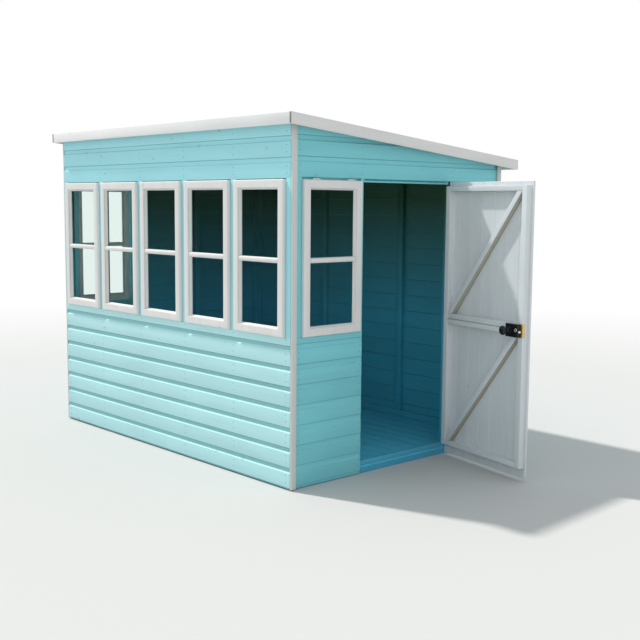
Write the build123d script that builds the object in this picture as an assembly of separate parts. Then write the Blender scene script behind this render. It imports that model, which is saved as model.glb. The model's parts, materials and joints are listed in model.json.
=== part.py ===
from build123d import *
import math
import os

# A pent-roofed garden shed of painted boards on a light timber frame, in millimetres.
# The origin is on the ground in the middle of the floor plan. The long glazed front faces -Y,
# the doorway is in the end wall at +X, and +Z is up.

# Boards and framing timber
board_thickness = 12.0
frame_depth = 28.0
stud_width = 44.0
rail_height = 44.0
cladding_ground_gap = 6.0

# Floor
bearer_height = 32.0
bearer_width = 44.0
bearer_count = 5
floor_thickness = 12.0
end_bottom_rail = 28.0

# Roof: a single slope that falls from the front to the back
roof_above_sashes = 335.0
roof_pitch = 5.42
roof_front_overhang = 51.0
roof_rear_overhang = 106.0
roof_side_overhang = 60.0
roof_board = 12.0
felt_thickness = 3.0
roof_edge_lip = 3.0
fascia_height = 60.0
fascia_thickness = 14.0
purlin_width = 28.0
purlin_height = 44.0
purlin_spacing = 560.0

# Sashes: five in the front wall and one beside the front corner of each end wall
sash_width = 424.0
sash_height = 826.0
sash_bottom = 817.0
sash_gap = 47.0
sash_count = 5
front_margin = 41.0
sash_member = 44.0
sash_thickness = 32.0
sash_rebate_width = 8.0
sash_rebate_depth = 8.0
sash_edge_radius = 6.0
sash_inner_radius = 4.0
sash_lap = 6.0
strip_clearance = 2.0
pane_thickness = 4.0
pane_clearance = 1.0
sill_joint = 3.0
front_head_joint = 4.0
end_sash_setback = 77.0

# Corner trims on the end walls
trim_width = 35.0
trim_thickness = 12.0

# Back wall
back_stud_spacing = 774.0

# Doorway, beside the sash of the end wall, with the plain wall behind it
doorway_strip = 22.0
doorway_rebate = 12.0
wall_behind_door = 465.0
door_post_width = 44.0
door_width = 695.0
door_free_gap = 7.0
door_hinge_gap = 5.0
door_floor_gap = 5.0
door_head_gap = 12.0
door_stand_off = 5.0
door_open_angle = 78.4

# Door: upright boards on a frame of stiles and rails with two braces
skin_free_lap = 13.0
skin_hinge_lap = 12.0
skin_top_lap = 24.0
skin_bottom = 20.0
skin_head_gap = 6.0
door_frame_thickness = 36.0
stile_width = 38.0
door_rail_height = 30.0
ledge_height = 30.0
ledge_gap = 2.0
ledge_below_middle = 6.0
brace_width = 30.0

# Hinges of the door
pin_radius = 2.5
pin_clearance = 0.2
knuckle_radius = 5.0
knuckle_gap = 0.3
knuckle_length = 16.0
leaf_thickness = 2.5
pin_side_gap = 3.0
strap_length = 300.0
strap_height = 34.0
strap_tip = 14.0
post_leaf_height = 90.0
post_leaf_width = 40.0
post_leaf_offset = 6.0
crank_thickness = 3.0
hinge_end_inset = 150.0

# Rim lock and knobs
lock_width = 100.0
lock_height = 72.0
lock_thickness = 22.0
lock_edge_radius = 3.0
lock_below_ledge = 5.0
faceplate_height = 76.0
faceplate_width = 16.0
faceplate_thickness = 2.0
knob_radius = 26.0
knob_half_thickness = 12.0
knob_standing = 42.0
knob_neck_radius = 8.0
knob_from_edge = 89.0
rose_radius = 24.0
rose_thickness = 4.0
keep_width = 22.0

# Hinges along the top edge of the sash in the door end
butt_length = 50.0
butt_leaf = 14.0
butt_thickness = 2.0
butt_knuckle = 3.0
butt_inset = 85.0

# Plan: the front is as long as its row of sashes, and the end wall as deep as its bays
sash_pitch = sash_width + sash_gap
shed_length = sash_count * sash_pitch - sash_gap + 2 * front_margin
doorway_start = end_sash_setback + sash_width + doorway_strip
door_free_start = doorway_start + doorway_rebate + door_free_gap
pin_start = door_free_start + door_width + skin_hinge_lap + pin_side_gap
shed_depth = pin_start + pin_side_gap + wall_behind_door
half_length = shed_length / 2
half_depth = shed_depth / 2
frame_x = half_length - board_thickness
frame_y = half_depth - board_thickness
inner_x = frame_x - frame_depth
inner_y = frame_y - frame_depth
first_sash = front_margin - half_length
end_sash_start = end_sash_setback - half_depth
end_sash_stop = end_sash_start + sash_width

# Heights
floor_top = bearer_height + floor_thickness
threshold_top = floor_top + end_bottom_rail
sash_top = sash_bottom + sash_height
sill_top = sash_bottom + sash_lap
head_bottom = sash_top - sash_lap
cladding_sill = sash_bottom - sill_joint
cladding_head = sash_top + front_head_joint
roof_front_height = sash_top + roof_above_sashes
roof_slope = math.tan(math.radians(roof_pitch))
roof_build = roof_edge_lip + felt_thickness + roof_board
roof_front = -half_depth - roof_front_overhang
roof_rear = half_depth + roof_rear_overhang

# Doorway and door, shut
doorway_front = doorway_start - half_depth
front_post = doorway_front + doorway_rebate
door_free_edge = door_free_start - half_depth
door_hinge_edge = door_free_edge + door_width
rear_post = door_hinge_edge + door_hinge_gap
skin_free_edge = door_free_edge - skin_free_lap
skin_hinge_edge = door_hinge_edge + skin_hinge_lap
skin_back = frame_x + door_stand_off
skin_face = skin_back + board_thickness
door_frame_back = skin_back - door_frame_thickness
door_bottom = threshold_top + door_floor_gap
door_top = head_bottom - door_head_gap
skin_top = door_top + skin_top_lap
end_cladding_head = skin_top + skin_head_gap
ledge_middle = (door_bottom + door_top) / 2 - ledge_below_middle
lock_middle = ledge_middle - lock_below_ledge
pin_x = skin_face + knuckle_radius + knuckle_gap
pin_y = pin_start - half_depth
rear_cladding = pin_y + pin_side_gap


def roof_top(y):
    """Height of the top edge of the fascia and bargeboards above a point of the plan."""
    return roof_front_height - roof_slope * (y - roof_front)


def roof_under(y):
    """Height of the underside of the roof boards, on which the walls end."""
    return roof_top(y) - roof_build


def block(x0, x1, y0, y1, z0, z1):
    """A square-cut piece between two corners."""
    middle = ((x0 + x1) / 2, (y0 + y1) / 2, (z0 + z1) / 2)
    return Pos(*middle) * Box(abs(x1 - x0), abs(y1 - y0), abs(z1 - z0))


def profile_along_x(points, x0, x1):
    """A side profile of (y, z) points carried along the length of the shed."""
    plane = Plane(origin=(x0, 0, 0), x_dir=(0, 1, 0), z_dir=(1, 0, 0))
    return extrude(plane * make_face(Polyline(*points, close=True)), amount=x1 - x0)


def up_to_roof(x0, x1, y0, y1, z0, drop=0.0):
    """A piece whose top follows the underside of the roof boards, or lies below it by a drop."""
    points = [(y0, z0), (y1, z0), (y1, roof_under(y1) - drop), (y0, roof_under(y0) - drop)]
    return profile_along_x(points, x0, x1)


def along_roof(x0, x1, y0, y1, drop, height):
    """A piece that runs with the slope, its top a drop below the roof's edge line."""
    points = [
        (y0, roof_top(y0) - drop - height),
        (y1, roof_top(y1) - drop - height),
        (y1, roof_top(y1) - drop),
        (y0, roof_top(y0) - drop),
    ]
    return profile_along_x(points, x0, x1)


def top_rail(x0, x1, y0, y1):
    """A rail against the underside of the roof boards."""
    return along_roof(x0, x1, y0, y1, roof_build, rail_height)


def save(name, *solids):
    """Writes one sub-part, which may be several like pieces that don't touch."""
    pieces = []
    for solid in solids:
        pieces.extend(solid.solids())
    part = pieces[0] if len(pieces) == 1 else Compound(children=pieces)
    part.label = name
    export_step(part, f"parts/{name}.step")


# Floor

def make_floor():
    outer = frame_x - bearer_width / 2
    bearers = []
    for index in range(bearer_count):
        x = -outer + 2 * outer * index / (bearer_count - 1)
        half = bearer_width / 2
        bearers.append(block(x - half, x + half, -frame_y, frame_y, 0, bearer_height))
    save("floor_bearers", *bearers)
    save("floor_boards", block(-frame_x, frame_x, -frame_y, frame_y, bearer_height, floor_top))


# Front wall

def sash_starts():
    """The left edge of each sash of the front wall."""
    return [first_sash + index * sash_pitch for index in range(sash_count)]


def make_front_wall():
    face = -half_depth
    back = -frame_y
    lower = block(-half_length, half_length, face, back, cladding_ground_gap, cladding_sill)
    save("front_wall_lower", lower)
    save("front_wall_upper", up_to_roof(-half_length, half_length, face, back, cladding_head))
    edges = [-half_length]
    for start in sash_starts():
        edges += [start - strip_clearance, start + sash_width + strip_clearance]
    edges.append(half_length)
    strips = [
        block(edges[i], edges[i + 1], face, back, cladding_sill, cladding_head)
        for i in range(0, len(edges), 2)
    ]
    save("front_wall_strips", *strips)


def make_front_frame():
    outer, inner = -frame_y, -inner_y
    lap = sash_gap / 2 + sash_lap
    posts = [(-frame_x, -frame_x + stud_width)]
    for start in sash_starts()[1:]:
        middle = start - sash_gap / 2
        posts.append((middle - lap, middle + lap))
    posts.append((frame_x - stud_width, frame_x))
    foot = floor_top + rail_height
    studs = [up_to_roof(x0, x1, outer, inner, foot, rail_height) for x0, x1 in posts]
    save("front_wall_studs", *studs)
    rails = [
        block(-frame_x, frame_x, outer, inner, floor_top, foot),
        top_rail(-frame_x, frame_x, outer, inner),
    ]
    for left, right in zip(posts, posts[1:]):
        rails.append(block(left[1], right[0], outer, inner, sill_top - rail_height, sill_top))
        rails.append(block(left[1], right[0], outer, inner, head_bottom, head_bottom + rail_height))
    save("front_wall_rails", *rails)


# Sashes and panes

def make_sash():
    """A sash standing on its lower left corner, its face at y = 0 and its back at +y."""
    wide, tall, member = sash_width, sash_height, sash_member
    sash = block(0, wide, 0, sash_thickness, 0, tall)
    sash -= block(member, wide - member, -1, sash_thickness + 1, member, tall - member)
    rebate = member - sash_rebate_width
    floor_of_rebate = sash_thickness - sash_rebate_depth
    sash -= block(rebate, wide - rebate, floor_of_rebate, sash_thickness + 1, rebate, tall - rebate)
    face = sash.faces().sort_by(Axis.Y)[0]
    sash = fillet(face.outer_wire().edges(), sash_edge_radius)
    face = sash.faces().sort_by(Axis.Y)[0]
    return fillet(face.inner_wires()[0].edges(), sash_inner_radius)


def make_pane():
    """The pane that lies in the rebate of a sash, in the same place as the sash."""
    edge = sash_member - sash_rebate_width + pane_clearance
    floor_of_rebate = sash_thickness - sash_rebate_depth
    back = floor_of_rebate + pane_thickness
    return block(edge, sash_width - edge, floor_of_rebate, back, edge, sash_height - edge)


def make_windows():
    face = -frame_y - sash_thickness
    sash, pane = make_sash(), make_pane()
    panes = []
    for number, start in enumerate(sash_starts(), 1):
        place = Pos(start, face, sash_bottom)
        save(f"front_window_{number}", place * sash)
        panes.append(place * pane)
    reach = frame_x + sash_thickness
    right = Pos(reach, end_sash_start, sash_bottom) * Rot(0, 0, 90)
    left = Pos(-reach, end_sash_stop, sash_bottom) * Rot(0, 0, -90)
    save("right_window", right * sash)
    save("left_window", left * sash)
    panes += [right * pane, left * pane]
    save("window_panes", *panes)


def make_window_hinges():
    """Two small butt hinges on the top edge of the sash in the door end."""
    face = frame_x + sash_thickness - sash_edge_radius
    hinges = []
    for y in (end_sash_start + butt_inset, end_sash_stop - butt_inset):
        half = butt_length / 2
        leaf = block(face - butt_leaf, face, y - half, y + half, sash_top, sash_top + butt_thickness)
        barrel = Cylinder(butt_knuckle, butt_length, rotation=(90, 0, 0))
        barrel = Pos(face, y, sash_top + butt_knuckle) * barrel
        hinges.append(leaf + barrel)
    save("right_window_hinges", *hinges)


# End walls

def make_end_walls():
    face, back = half_length, frame_x
    foot, sill, head = cladding_ground_gap, cladding_sill, end_cladding_head
    front, rear = -frame_y, frame_y
    save("right_wall_lower", block(back, face, front, doorway_front, foot, sill))
    save("right_wall_rear", block(back, face, rear_cladding, rear, foot, head))
    save("right_wall_upper", up_to_roof(back, face, front, rear, head))
    save("left_wall_lower", block(-face, -back, front, rear, foot, sill))
    left_rear = end_sash_stop + strip_clearance
    save("left_wall_rear", block(-face, -back, left_rear, rear, sill, head))
    save("left_wall_upper", up_to_roof(-face, -back, front, rear, head))
    before = end_sash_start - strip_clearance
    strips = [
        block(back, face, front, before, sill, head),
        block(back, face, left_rear, doorway_front, sill, head),
        block(-face, -back, front, before, sill, head),
    ]
    save("end_wall_strips", *strips)


def end_wall_posts():
    """The posts of the door end and of the other end, as (from, to) along the wall."""
    first = (-inner_y, end_sash_start + sash_lap)
    last = (inner_y - stud_width, inner_y)
    behind_sash = end_sash_stop - sash_lap
    behind_door = (rear_post, rear_post + door_post_width)
    door_end = [first, (behind_sash, front_post), behind_door, last]
    window_post = (behind_sash, behind_sash + stud_width)
    middle = (window_post[1] + last[0]) / 2
    middle_post = (middle - stud_width / 2, middle + stud_width / 2)
    return door_end, [first, window_post, middle_post, last]


def make_end_frames():
    door_end, other_end = end_wall_posts()
    studs = []
    rails = []
    head_top = head_bottom + rail_height
    for side, posts in ((1, door_end), (-1, other_end)):
        x0, x1 = sorted((side * inner_x, side * frame_x))
        for y0, y1 in posts:
            studs.append(up_to_roof(x0, x1, y0, y1, threshold_top, rail_height))
        rails.append(top_rail(x0, x1, -inner_y, inner_y))
        y0, y1 = posts[0][1], posts[1][0]
        rails.append(block(x0, x1, y0, y1, sill_top - rail_height, sill_top))
        rails.append(block(x0, x1, y0, y1, head_bottom, head_top))
    threshold_start, threshold_stop = door_end[1][0], door_end[2][1]
    rails.append(block(inner_x, frame_x, front_post, rear_post, head_bottom, head_top))
    bottom_rails = (
        (inner_x, frame_x, -inner_y, threshold_start),
        (inner_x, frame_x, threshold_stop, inner_y),
        (-frame_x, -inner_x, -inner_y, inner_y),
    )
    for x0, x1, y0, y1 in bottom_rails:
        rails.append(block(x0, x1, y0, y1, floor_top, threshold_top))
    save("end_wall_studs", *studs)
    save("end_wall_rails", *rails)
    threshold = block(inner_x, frame_x, threshold_start, threshold_stop, floor_top, threshold_top)
    save("door_threshold", threshold)


# Back wall

def make_back_wall():
    cladding = up_to_roof(-half_length, half_length, frame_y, half_depth, cladding_ground_gap)
    save("back_wall", cladding)
    foot = floor_top + rail_height
    half = stud_width / 2
    middles = [-frame_x + half, -back_stud_spacing / 2, back_stud_spacing / 2, frame_x - half]
    studs = [up_to_roof(x - half, x + half, inner_y, frame_y, foot, rail_height) for x in middles]
    save("back_wall_studs", *studs)
    rails = [
        block(-frame_x, frame_x, inner_y, frame_y, floor_top, foot),
        top_rail(-frame_x, frame_x, inner_y, frame_y),
    ]
    save("back_wall_rails", *rails)


def make_corner_trims():
    trims = []
    for side in (-1, 1):
        x0, x1 = sorted((side * half_length, side * (half_length + trim_thickness)))
        for end in (-1, 1):
            y0, y1 = sorted((end * half_depth, end * (half_depth - trim_width)))
            trims.append(up_to_roof(x0, x1, y0, y1, cladding_ground_gap))
    save("corner_trims", *trims)


# Roof

def make_roof():
    reach = half_length + roof_side_overhang
    deck_reach = reach - fascia_thickness
    front, rear = roof_front + fascia_thickness, roof_rear - fascia_thickness
    half = purlin_width / 2
    purlins = [
        along_roof(-inner_x, inner_x, y - half, y + half, roof_build, purlin_height)
        for y in (-purlin_spacing / 2, purlin_spacing / 2)
    ]
    save("roof_purlins", *purlins)
    deck_drop = roof_edge_lip + felt_thickness
    save("roof_boards", along_roof(-deck_reach, deck_reach, front, rear, deck_drop, roof_board))
    save("roof_felt", along_roof(-deck_reach, deck_reach, front, rear, roof_edge_lip, felt_thickness))
    fascias = [
        along_roof(-deck_reach, deck_reach, roof_front, front, 0, fascia_height),
        along_roof(-deck_reach, deck_reach, rear, roof_rear, 0, fascia_height),
    ]
    save("fascias", *fascias)
    bargeboards = [
        along_roof(-reach, -deck_reach, roof_front, roof_rear, 0, fascia_height),
        along_roof(deck_reach, reach, roof_front, roof_rear, 0, fascia_height),
    ]
    save("bargeboards", *bargeboards)


# Door, made shut in its doorway and then swung open about its hinge pins

def swing(shape):
    return Pos(pin_x, pin_y, 0) * Rot(0, 0, door_open_angle) * Pos(-pin_x, -pin_y, 0) * shape


def make_door_boards():
    skin = block(skin_back, skin_face, skin_free_edge, skin_hinge_edge, skin_bottom, skin_top)
    save("door_boards", swing(skin))


def make_door_frame():
    x0, x1 = door_frame_back, skin_back
    free, hinge = door_free_edge, door_hinge_edge
    stiles = [
        block(x0, x1, free, free + stile_width, door_bottom, door_top),
        block(x0, x1, hinge - stile_width, hinge, door_bottom, door_top),
    ]
    stiles[0] -= faceplate()
    save("door_stiles", *[swing(piece) for piece in stiles])
    y0, y1 = free + stile_width, hinge - stile_width
    low_ledge = ledge_middle - ledge_gap / 2 - ledge_height
    high_ledge = ledge_middle + ledge_gap / 2
    rails = [
        block(x0, x1, y0, y1, door_bottom, door_bottom + door_rail_height),
        block(x0, x1, y0, y1, low_ledge, low_ledge + ledge_height),
        block(x0, x1, y0, y1, high_ledge, high_ledge + ledge_height),
        block(x0, x1, y0, y1, door_top - door_rail_height, door_top),
    ]
    save("door_rails", *[swing(piece) for piece in rails])
    panels = (
        (door_bottom + door_rail_height, low_ledge),
        (high_ledge + ledge_height, door_top - door_rail_height),
    )
    braces = []
    for z0, z1 in panels:
        cut = brace_cut(y1 - y0, z1 - z0)
        points = [(y1, z0), (y1 - cut, z0), (y0, z1), (y0 + cut, z1)]
        braces.append(swing(profile_along_x(points, x0, x1)))
    save("door_braces", *braces)


def brace_cut(width, height):
    """Length of the level cut at each end of a brace that runs from corner to corner."""
    cut = brace_width
    for _ in range(20):
        run = width - cut
        cut = brace_width * math.hypot(run, height) / height
    return cut


def make_door_hinges():
    bore = pin_radius + pin_clearance
    strap_x = skin_face - pin_x
    top = (knuckle_length + knuckle_gap) * 1.5 - knuckle_gap / 2
    straps = []
    leaves = []
    for z in (door_bottom + hinge_end_inset, ledge_middle, door_top - hinge_end_inset):
        outline = Polyline(
            (0, -strap_height / 2),
            (0, strap_height / 2),
            (-strap_length, strap_tip / 2),
            (-strap_length, -strap_tip / 2),
            close=True,
        )
        plane = Plane(origin=(strap_x, 0, 0), x_dir=(0, 1, 0), z_dir=(1, 0, 0))
        strap = extrude(plane * make_face(outline), amount=leaf_thickness)
        half = knuckle_length / 2
        relief = Cylinder(knuckle_radius + knuckle_gap, 2 * top)
        strap -= relief
        tongue = block(strap_x, strap_x + leaf_thickness, -2 * knuckle_radius, 0, -half, half)
        barrel = Cylinder(knuckle_radius, knuckle_length)
        strap = strap + tongue + barrel - Cylinder(bore, 2 * top)
        straps.append(swing(Pos(pin_x, pin_y, z) * strap))
        leaves.append(Pos(pin_x, pin_y, z) * post_leaf(top, half))
    save("door_hinge_straps", *straps)
    save("door_hinge_plates", *leaves)


def post_leaf(top, half):
    """The plate on the wall with its cranked neck, two knuckles and the pin that joins them."""
    wall = half_length - pin_x
    reach = post_leaf_offset + post_leaf_width
    tall = post_leaf_height / 2
    plate = block(wall, wall + leaf_thickness, post_leaf_offset, reach, -tall, tall)
    crank_start = post_leaf_offset
    neck = block(wall, crank_thickness / 2, crank_start, crank_start + crank_thickness, -top, top)
    bridge = block(-crank_thickness / 2, crank_thickness / 2, 0, crank_start + crank_thickness, -top, top)
    bridge -= block(-crank_thickness, crank_thickness, -1, knuckle_radius + knuckle_gap,
                    -half - knuckle_gap, half + knuckle_gap)
    leaf = plate + neck + bridge + Cylinder(pin_radius, 2 * top)
    for side in (-1, 1):
        middle = side * (half + knuckle_gap + knuckle_length / 2)
        leaf += Pos(0, 0, middle) * Cylinder(knuckle_radius, knuckle_length)
    return leaf


def faceplate():
    """The plate of the lock, bent over the corner of the free stile and let in flush."""
    x0, y0 = door_frame_back, door_free_edge
    z0, z1 = lock_middle - faceplate_height / 2, lock_middle + faceplate_height / 2
    on_room_face = block(x0, x0 + faceplate_thickness, y0, y0 + faceplate_width, z0, z1)
    on_edge = block(x0, x0 + faceplate_width, y0, y0 + faceplate_thickness, z0, z1)
    return on_room_face + on_edge


def make_lock():
    x1 = door_frame_back
    x0 = x1 - lock_thickness
    y0 = door_free_edge + faceplate_width
    z0, z1 = lock_middle - lock_height / 2, lock_middle + lock_height / 2
    case = block(x0, x1, y0, y0 + lock_width, z0, z1)
    case = fillet(case.faces().sort_by(Axis.X)[0].edges(), lock_edge_radius)
    save("door_lock", swing(case))
    save("door_lock_faceplate", swing(faceplate()))
    knob_y = door_free_edge + knob_from_edge
    inside = Pos(x0, knob_y, lock_middle) * Rot(0, -90, 0) * make_knob()
    outside = Pos(skin_face, knob_y, lock_middle) * Rot(0, 90, 0) * make_knob()
    save("door_knobs", swing(inside), swing(outside))
    keep = block(x0 - door_stand_off, inner_x, front_post - keep_width, front_post, z0, z1)
    save("door_keep", keep)


def make_knob():
    """A turned knob, flattened, on its rose, standing on the plane z = 0. Its tip has a small flat."""
    neck = math.degrees(math.acos(knob_neck_radius / knob_radius))
    centre = (0, knob_standing)
    bulb = EllipticalCenterArc(centre, knob_radius, knob_half_thickness, -neck, arc_size=neck + 80)
    tip = (0, (bulb @ 1).Y)
    outline = [
        Line((0, 0), (rose_radius, 0)),
        Line((rose_radius, 0), (rose_radius, rose_thickness)),
        Line((rose_radius, rose_thickness), (knob_neck_radius, rose_thickness)),
        Line((knob_neck_radius, rose_thickness), bulb @ 0),
        bulb,
        Line(bulb @ 1, tip),
        Line(tip, (0, 0)),
    ]
    return revolve(Plane.XZ * make_face(outline), axis=Axis.Z)


def main():
    os.makedirs("parts", exist_ok=True)
    make_floor()
    make_front_wall()
    make_front_frame()
    make_windows()
    make_window_hinges()
    make_end_walls()
    make_end_frames()
    make_back_wall()
    make_corner_trims()
    make_roof()
    make_door_boards()
    make_door_frame()
    make_door_hinges()
    make_lock()


main()
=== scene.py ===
# %% [markdown]
# # A painted garden shed
#
# This lesson dresses a garden shed: teal boards on a light timber frame, seven cream sashes, a felted
# roof with one slope, and a braced door that stands open. The construction is already there as a fixed
# frame. Each step takes one piece of it, says what that piece is on the real shed, and models it with
# Blender's own tools at the place that the frame gives.

# %% Load the frame
import json
import math
import random
from contextlib import contextmanager

import bmesh
import bpy
from mathutils import Matrix, Vector


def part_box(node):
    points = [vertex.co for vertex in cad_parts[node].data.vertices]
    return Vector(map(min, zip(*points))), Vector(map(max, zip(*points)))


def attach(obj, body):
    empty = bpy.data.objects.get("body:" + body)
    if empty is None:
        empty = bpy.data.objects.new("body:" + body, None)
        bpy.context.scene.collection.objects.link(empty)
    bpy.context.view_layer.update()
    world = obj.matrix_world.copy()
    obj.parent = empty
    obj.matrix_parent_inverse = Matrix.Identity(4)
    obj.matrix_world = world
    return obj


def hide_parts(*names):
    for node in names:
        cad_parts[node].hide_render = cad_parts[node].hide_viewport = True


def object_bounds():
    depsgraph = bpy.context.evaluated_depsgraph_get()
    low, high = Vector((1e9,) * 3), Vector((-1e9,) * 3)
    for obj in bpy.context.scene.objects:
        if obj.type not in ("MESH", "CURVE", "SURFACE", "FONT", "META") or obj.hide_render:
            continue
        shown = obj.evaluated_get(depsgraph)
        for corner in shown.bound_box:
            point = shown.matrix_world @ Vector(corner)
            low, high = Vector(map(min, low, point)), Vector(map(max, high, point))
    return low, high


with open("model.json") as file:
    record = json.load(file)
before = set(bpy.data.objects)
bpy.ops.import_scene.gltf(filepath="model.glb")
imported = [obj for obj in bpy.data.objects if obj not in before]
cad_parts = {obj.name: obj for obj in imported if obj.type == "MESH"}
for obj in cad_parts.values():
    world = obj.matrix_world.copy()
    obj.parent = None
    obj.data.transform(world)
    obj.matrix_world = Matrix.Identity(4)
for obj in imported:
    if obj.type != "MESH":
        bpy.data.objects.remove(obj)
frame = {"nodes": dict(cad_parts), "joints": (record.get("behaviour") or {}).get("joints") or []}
nodes = frame["nodes"]
frame_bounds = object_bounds()
MM = 0.001
QUARTER = math.radians(90)

# %% [markdown]
# ## The camera
#
# The photograph was taken by a person standing off the corner, near eye height, with a longish lens. A
# camera can be placed by eye until the edges agree, or worked out from the corners of the shed. Here it
# was worked out, so it is given as a place, three angles and a focal length in pixels.

# %% Camera
IMAGE_WIDTH = 640
FOCAL_PIXELS = 1003.26
CAMERA_PLACE = Vector((5.1322, -4.2362, 1.5167))
CAMERA_HEADING = math.radians(-47.6865)
CAMERA_PITCH = math.radians(-6.6)
CAMERA_ROLL = math.radians(0.448)

ahead = Vector((
    math.sin(CAMERA_HEADING) * math.cos(CAMERA_PITCH),
    math.cos(CAMERA_HEADING) * math.cos(CAMERA_PITCH),
    math.sin(CAMERA_PITCH),
))
level_right = ahead.cross(Vector((0, 0, 1))).normalized()
level_up = level_right.cross(ahead)
camera_right = level_right * math.cos(CAMERA_ROLL) + level_up * math.sin(CAMERA_ROLL)
camera_up = level_up * math.cos(CAMERA_ROLL) - level_right * math.sin(CAMERA_ROLL)

bpy.ops.object.camera_add()
camera = bpy.context.object
camera.matrix_world = (
    Matrix.Translation(CAMERA_PLACE)
    @ Matrix((camera_right, camera_up, -ahead)).transposed().to_4x4()
)
camera.data.lens = FOCAL_PIXELS * camera.data.sensor_width / IMAGE_WIDTH
bpy.context.scene.camera = camera
print("camera: lens", round(camera.data.lens, 2), "mm")

# %% [markdown]
# ## Sums with sockets
#
# A finish is a small sum: a base colour, less a little where the grain runs dark, plus a little on one
# board and not on the next. Nodes can be added and linked one by one, which takes many lines for a
# short sum. A small class that wraps a socket lets the sum be written as Python, and every operator
# adds its Math node.

# %% Socket arithmetic
class Wire:
    """One output socket, which takes part in sums like a number."""

    def __init__(self, sheet, socket):
        self.sheet = sheet
        self.socket = socket

    def other(self, name):
        """Another output of the same node."""
        return Wire(self.sheet, self.socket.node.outputs[name])

    def math(self, operation, *values):
        return self.sheet.add("ShaderNodeMath", {"operation": operation}, dict(enumerate(values)))

    def __add__(self, value):
        return self.math("ADD", self, value)

    def __sub__(self, value):
        return self.math("SUBTRACT", self, value)

    def __rsub__(self, value):
        return self.math("SUBTRACT", value, self)

    def __mul__(self, value):
        return self.math("MULTIPLY", self, value)

    def __truediv__(self, value):
        return self.math("DIVIDE", self, value)

    def __gt__(self, value):
        return self.math("GREATER_THAN", self, value)

    def __lt__(self, value):
        return self.math("LESS_THAN", self, value)

    __radd__ = __add__
    __rmul__ = __mul__

    def floor(self):
        return self.math("FLOOR", self)

    def either(self, value):
        return self.math("MAXIMUM", self, value)

    def between(self, low, high):
        """0 at or below low, 1 at or above high, and a straight run from one to the other."""
        values = {"Value": self, "From Min": low, "From Max": high}
        return self.sheet.add("ShaderNodeMapRange", {}, values)


class Sheet:
    """The node tree of one finish."""

    def __init__(self, owner):
        owner.use_nodes = True
        self.tree = owner.node_tree
        self.tree.nodes.clear()

    def add(self, kind, settings=None, inputs=None, output=0):
        """One node: its settings are set first, then its sockets take values or links."""
        node = self.tree.nodes.new(kind)
        for name, value in (settings or {}).items():
            if name == "stops":
                set_stops(node.color_ramp, value)
            else:
                setattr(node, name, value)
        for name, value in (inputs or {}).items():
            if isinstance(value, Wire):
                self.tree.links.new(value.socket, node.inputs[name])
            else:
                node.inputs[name].default_value = value
        return Wire(self, node.outputs[output]) if node.outputs else None

    def blend(self, amount, first, second):
        """One colour or the other, by an amount from 0 to 1."""
        return self.add("ShaderNodeMix", {"data_type": "RGBA"}, {0: amount, 6: first, 7: second}, 2)

    def scaled(self, colour, amount):
        """A colour made lighter or darker."""
        start = colour if isinstance(colour, Wire) else colour[:3]
        return self.add("ShaderNodeVectorMath", {"operation": "SCALE"}, {0: start, "Scale": amount})

    def noise(self, place, scale, detail, **more):
        """Cloudy noise with so many features to a unit, frayed by its detail."""
        inputs = {"Vector": place, "Scale": scale, "Detail": detail, **more}
        return self.add("ShaderNodeTexNoise", {}, inputs)

    def grain(self, place, turn, long, wide, detail, **more):
        """Noise stretched along the grain, with features so long and so wide in metres."""
        return self.noise(self.along_grain(place, turn, long, wide), 1.0, detail, **more)

    def along_grain(self, place, turn, long, wide):
        """Object coordinates with the piece's grain laid along X, counted in features."""
        inputs = {"Vector": place, "Rotation": turn, "Scale": (long, wide, wide)}
        return self.add("ShaderNodeMapping", {"vector_type": "TEXTURE"}, inputs)

    def bump(self, height, strength, distance):
        """The normal of a surface that is uneven by a height."""
        inputs = {"Height": height, "Strength": strength, "Distance": distance}
        return self.add("ShaderNodeBump", {}, inputs)

    def surface(self, inputs):
        """The surface of the finish, led to its output."""
        shader = self.add("ShaderNodeBsdfPrincipled", {}, inputs)
        self.add("ShaderNodeOutputMaterial", {}, {"Surface": shader})


def new_finish(name):
    """A new material, its sheet, and the place on the surface in the piece's own coordinates."""
    material = bpy.data.materials.new(name)
    sheet = Sheet(material)
    return material, sheet, sheet.add("ShaderNodeTexCoord", output="Object")


def set_stops(ramp, stops):
    while len(ramp.elements) < len(stops):
        ramp.elements.new(1)
    for element, (place, colour) in zip(ramp.elements, stops):
        element.position = place
        element.color = colour


def screen_colour(red, green, blue):
    """A colour as it looks on screen, from 0 to 255, as the numbers that a shader works with."""
    def linear(value):
        value /= 255
        return value / 12.92 if value <= 0.04045 else ((value + 0.055) / 1.055) ** 2.4
    return linear(red), linear(green), linear(blue), 1.0


print("sums with sockets are ready")

# %% [markdown]
# ## Light
#
# The shed stood in sunlight that came steeply from the left and grazed its front, so that the eaves
# shaded the boards over the sashes and the end wall lay in open shade. A studio does the same with one
# broad sun lamp and a bright even surround. A sky texture would tint the paint far more, so the
# surround is one even grey with a trace of blue. The camera, glass and metal see plain white instead.

# %% World and lamp
SURROUND_LEVEL = 0.75
SURROUND_TINT = (0.91, 0.97, 1.0, 1)
SUN_TINT = (1.0, 0.97, 0.93)
SUN_STRENGTH = 2.8
SUN_SOFTNESS = math.radians(2.5)
SUN_FROM = Vector((-0.52, -0.18, 0.835))

world = bpy.data.worlds.new("surround")
bpy.context.scene.world = world
air = Sheet(world)
ray = air.add("ShaderNodeLightPath", output="Is Camera Ray")
seen = ray.either(ray.other("Is Glossy Ray")).either(ray.other("Is Transmission Ray"))
surround = air.add("ShaderNodeBackground", {}, {"Color": SURROUND_TINT, "Strength": SURROUND_LEVEL})
white = air.add("ShaderNodeBackground", {}, {"Color": (1, 1, 1, 1), "Strength": 1.0})
mixed = air.add("ShaderNodeMixShader", {}, {0: seen, 1: surround, 2: white})
air.add("ShaderNodeOutputWorld", {}, {"Surface": mixed})

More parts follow.
